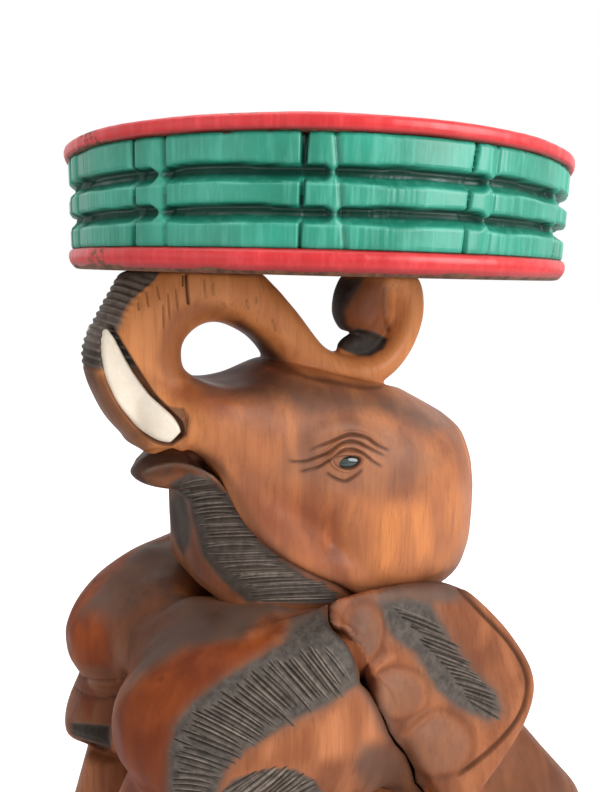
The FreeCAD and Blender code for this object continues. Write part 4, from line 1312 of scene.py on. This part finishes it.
def make_body():
    """The sitting body, carved as one and split at its creases."""
    names = ["body"] + [f"{kind}_{word}" for kind in ("ear", "foreleg", "hind_leg") for word in SIDES]
    lattice = Lattice(names, 1.5)
    x, y, z = lattice.x, lattice.y, lattice.z
    solid = {n: lattice.solid(n) for n in names}
    for side in SIDES.values():
        yoke = tube(lattice, [(-88, 20 * side, 197, 22), (-62, 44 * side, 199, 23)])
        solid["body"] = join(solid["body"], yoke, 6)
        yoke = tube(lattice, [(-30, 60 * side, 188, 27), (-78, 50 * side, 188, 33), (-96, 14 * side, 184, 27)])
        solid["body"] = join(solid["body"], yoke, 8)
    for word in SIDES:
        hind, fore = "hind_leg_" + word, "foreleg_" + word
        solid[hind] = both_of(solid[hind], picture_plane(x, y, z, (531, 734), (582, 791)), 8)
        solid[hind] = both_of(solid[hind], -picture_plane(x, y, z, (87, 750), (75, 792), False), 5)
        solid[fore] = both_of(solid[fore], -picture_plane(x, y, z, (66, 737), (92, 745), False), 5)
    front = join(solid["foreleg_left"], solid["foreleg_right"], 4)
    front = join(front, solid["body"], 12)
    hind = np.minimum(solid["hind_leg_left"], solid["hind_leg_right"])
    ears = np.minimum(solid["ear_left"], solid["ear_right"])
    whole = blur(join(join(front, hind, 4), ears, 2), 3)
    whole = np.maximum(np.maximum(whole, 0.2 - z), x - 165.4)
    # The open crack between shoulder and ear, along the path that the photograph shows
    share = step(84, 98, z) * step(58, 66, np.abs(y)) * step(36, 28, np.abs(ear_side(x, z)))
    zone = share > 0
    q = picture_place(spread(lattice, zone))
    crack, gape = np.zeros(lattice.shape), np.zeros(lattice.shape)
    crack[zone] = 0.62 * path_side(q, CRACK)
    gape[zone] = 0.4
    for spot, more in (((361, 682), 0.6), ((412, 767), 0.5)):
        gape[zone] += more * np.exp(-((q - spot) ** 2).sum(1) / 50)
    for n in names:
        word = n.rsplit("_", 1)[-1]
        partner = {"ear": "foreleg_" + word, "foreleg": "ear_" + word}.get(n.rsplit("_", 1)[0])
        others = [solid[m] for m in names if m not in (n, partner)]
        part = (solid[n] - np.minimum.reduce(others)) / 2 - 1.0
        if partner:
            seam = (solid[partner] - solid[n]) / 2
            drawn = crack if n.startswith("ear") else -crack
            part = np.maximum(part, gape * share - (seam * (1 - share) + drawn * share))
        label = "torso" if n == "body" else n.replace("_left", "_carving_left").replace("_right", "_carving_right")
        piece = np.maximum(whole, np.clip(part, -REACH, REACH)).astype(np.float32)
        rounds = 1 if n.startswith("hind") else 2
        detail = functools.partial(carve_flank, n.split("_")[0])
        dress(sculpt(label, lattice, piece, detail, fine_flank, rounds), BODY_WOOD, "body_wood", n)


def make_tail():
    lattice = Lattice(["tail"], 1.2)
    dress(sculpt("tail_carving", lattice, blur(lattice.solid("tail"), 2), plain), BODY_WOOD, "body_wood", "tail")


make_head_and_trunk()
make_body()
make_tail()

PIN_WOOD = wood("pin_wood", ((172, 112, 74), (136, 84, 54), (108, 64, 42), (78, 46, 30)))
for name, node in nodes.items():
    if name.endswith("_pins"):
        for i in range(max(1, len(node.data.materials))):
            if i < len(node.data.materials):
                node.data.materials[i] = PIN_WOOD
            else:
                node.data.materials.append(PIN_WOOD)


# Studio: how much light comes from all round, and how much of the floor's white is its own
WORLD_LIGHT = 0.37
FLOOR_GLOW = 0.66
LAMPS_AIM = (0.0, 0.0, 0.3)


def area(name, place, size, power):
    """A round lamp, in metres and watts, aimed at the middle of the stool."""
    lamp = bpy.data.lights.new(name, "AREA")
    lamp.shape = "DISK"
    lamp.size = size
    lamp.energy = power
    obj = bpy.data.objects.new(name, lamp)
    obj.location = place
    obj.rotation_euler = (Vector(LAMPS_AIM) - Vector(place)).to_track_quat("-Z", "Y").to_euler()
    bpy.context.scene.collection.objects.link(obj)


def make_studio():
    """A white room, a pale floor, three soft lamps and the photograph's camera."""
    world = bpy.data.worlds.new("studio")
    world.use_nodes = True
    tree = world.node_tree
    background = tree.nodes["Background"]
    background.inputs["Color"].default_value = (1, 1, 1, 1)
    path = tree.nodes.new("ShaderNodeLightPath")
    seen = path.outputs["Is Camera Ray"]
    for kind in ("Is Transmission Ray", "Is Glossy Ray"):
        either = tree.nodes.new("ShaderNodeMath")
        either.operation = "MAXIMUM"
        tree.links.new(seen, either.inputs[0])
        tree.links.new(path.outputs[kind], either.inputs[1])
        seen = either.outputs[0]
    level = tree.nodes.new("ShaderNodeMapRange")
    level.inputs["To Min"].default_value = WORLD_LIGHT
    level.inputs["To Max"].default_value = 1.0
    tree.links.new(seen, level.inputs["Value"])
    tree.links.new(level.outputs["Result"], background.inputs["Strength"])
    bpy.context.scene.world = world

    floor_mesh = bpy.data.meshes.new("floor")
    floor_mesh.from_pydata([(-9, -9, 0), (9, -9, 0), (9, 9, 0), (-9, 9, 0)], [], [(0, 1, 2, 3)])
    floor = bpy.data.objects.new("floor", floor_mesh)
    bpy.context.scene.collection.objects.link(floor)
    paint = Nodes("floor_paint")
    paint.shader.inputs["Base Color"].default_value = (0.9, 0.9, 0.9, 1)
    paint.shader.inputs["Roughness"].default_value = 0.9
    paint.shader.inputs["Emission Color"].default_value = (1, 1, 1, 1)
    shown = paint.make("ShaderNodeLightPath").outputs["Is Camera Ray"]
    paint.put(paint.shader.inputs["Emission Strength"], paint.times(shown, FLOOR_GLOW))
    floor_mesh.materials.append(paint.material)

    area("window", (0.6, -1.5, 1.0), 1.3, 28)
    area("overhead", (-0.2, 0.1, 1.9), 1.6, 14)
    area("side_fill", (-1.6, -0.3, 0.6), 1.2, 3)

    scene = bpy.context.scene
    scene.view_settings.view_transform = "Standard"
    camera = bpy.data.cameras.new("camera")
    camera.lens = LENS
    camera.sensor_width = SENSOR
    camera.sensor_fit = "AUTO"
    camera.clip_start, camera.clip_end = 0.01, 50
    obj = bpy.data.objects.new("camera", camera)
    rotation = Matrix((RIGHT, UP, -FORWARD)).transposed()
    obj.matrix_world = Matrix.Translation(Vector(EYE_POINT * MM)) @ rotation.to_4x4()
    scene.collection.objects.link(obj)
    scene.camera = obj


make_studio()
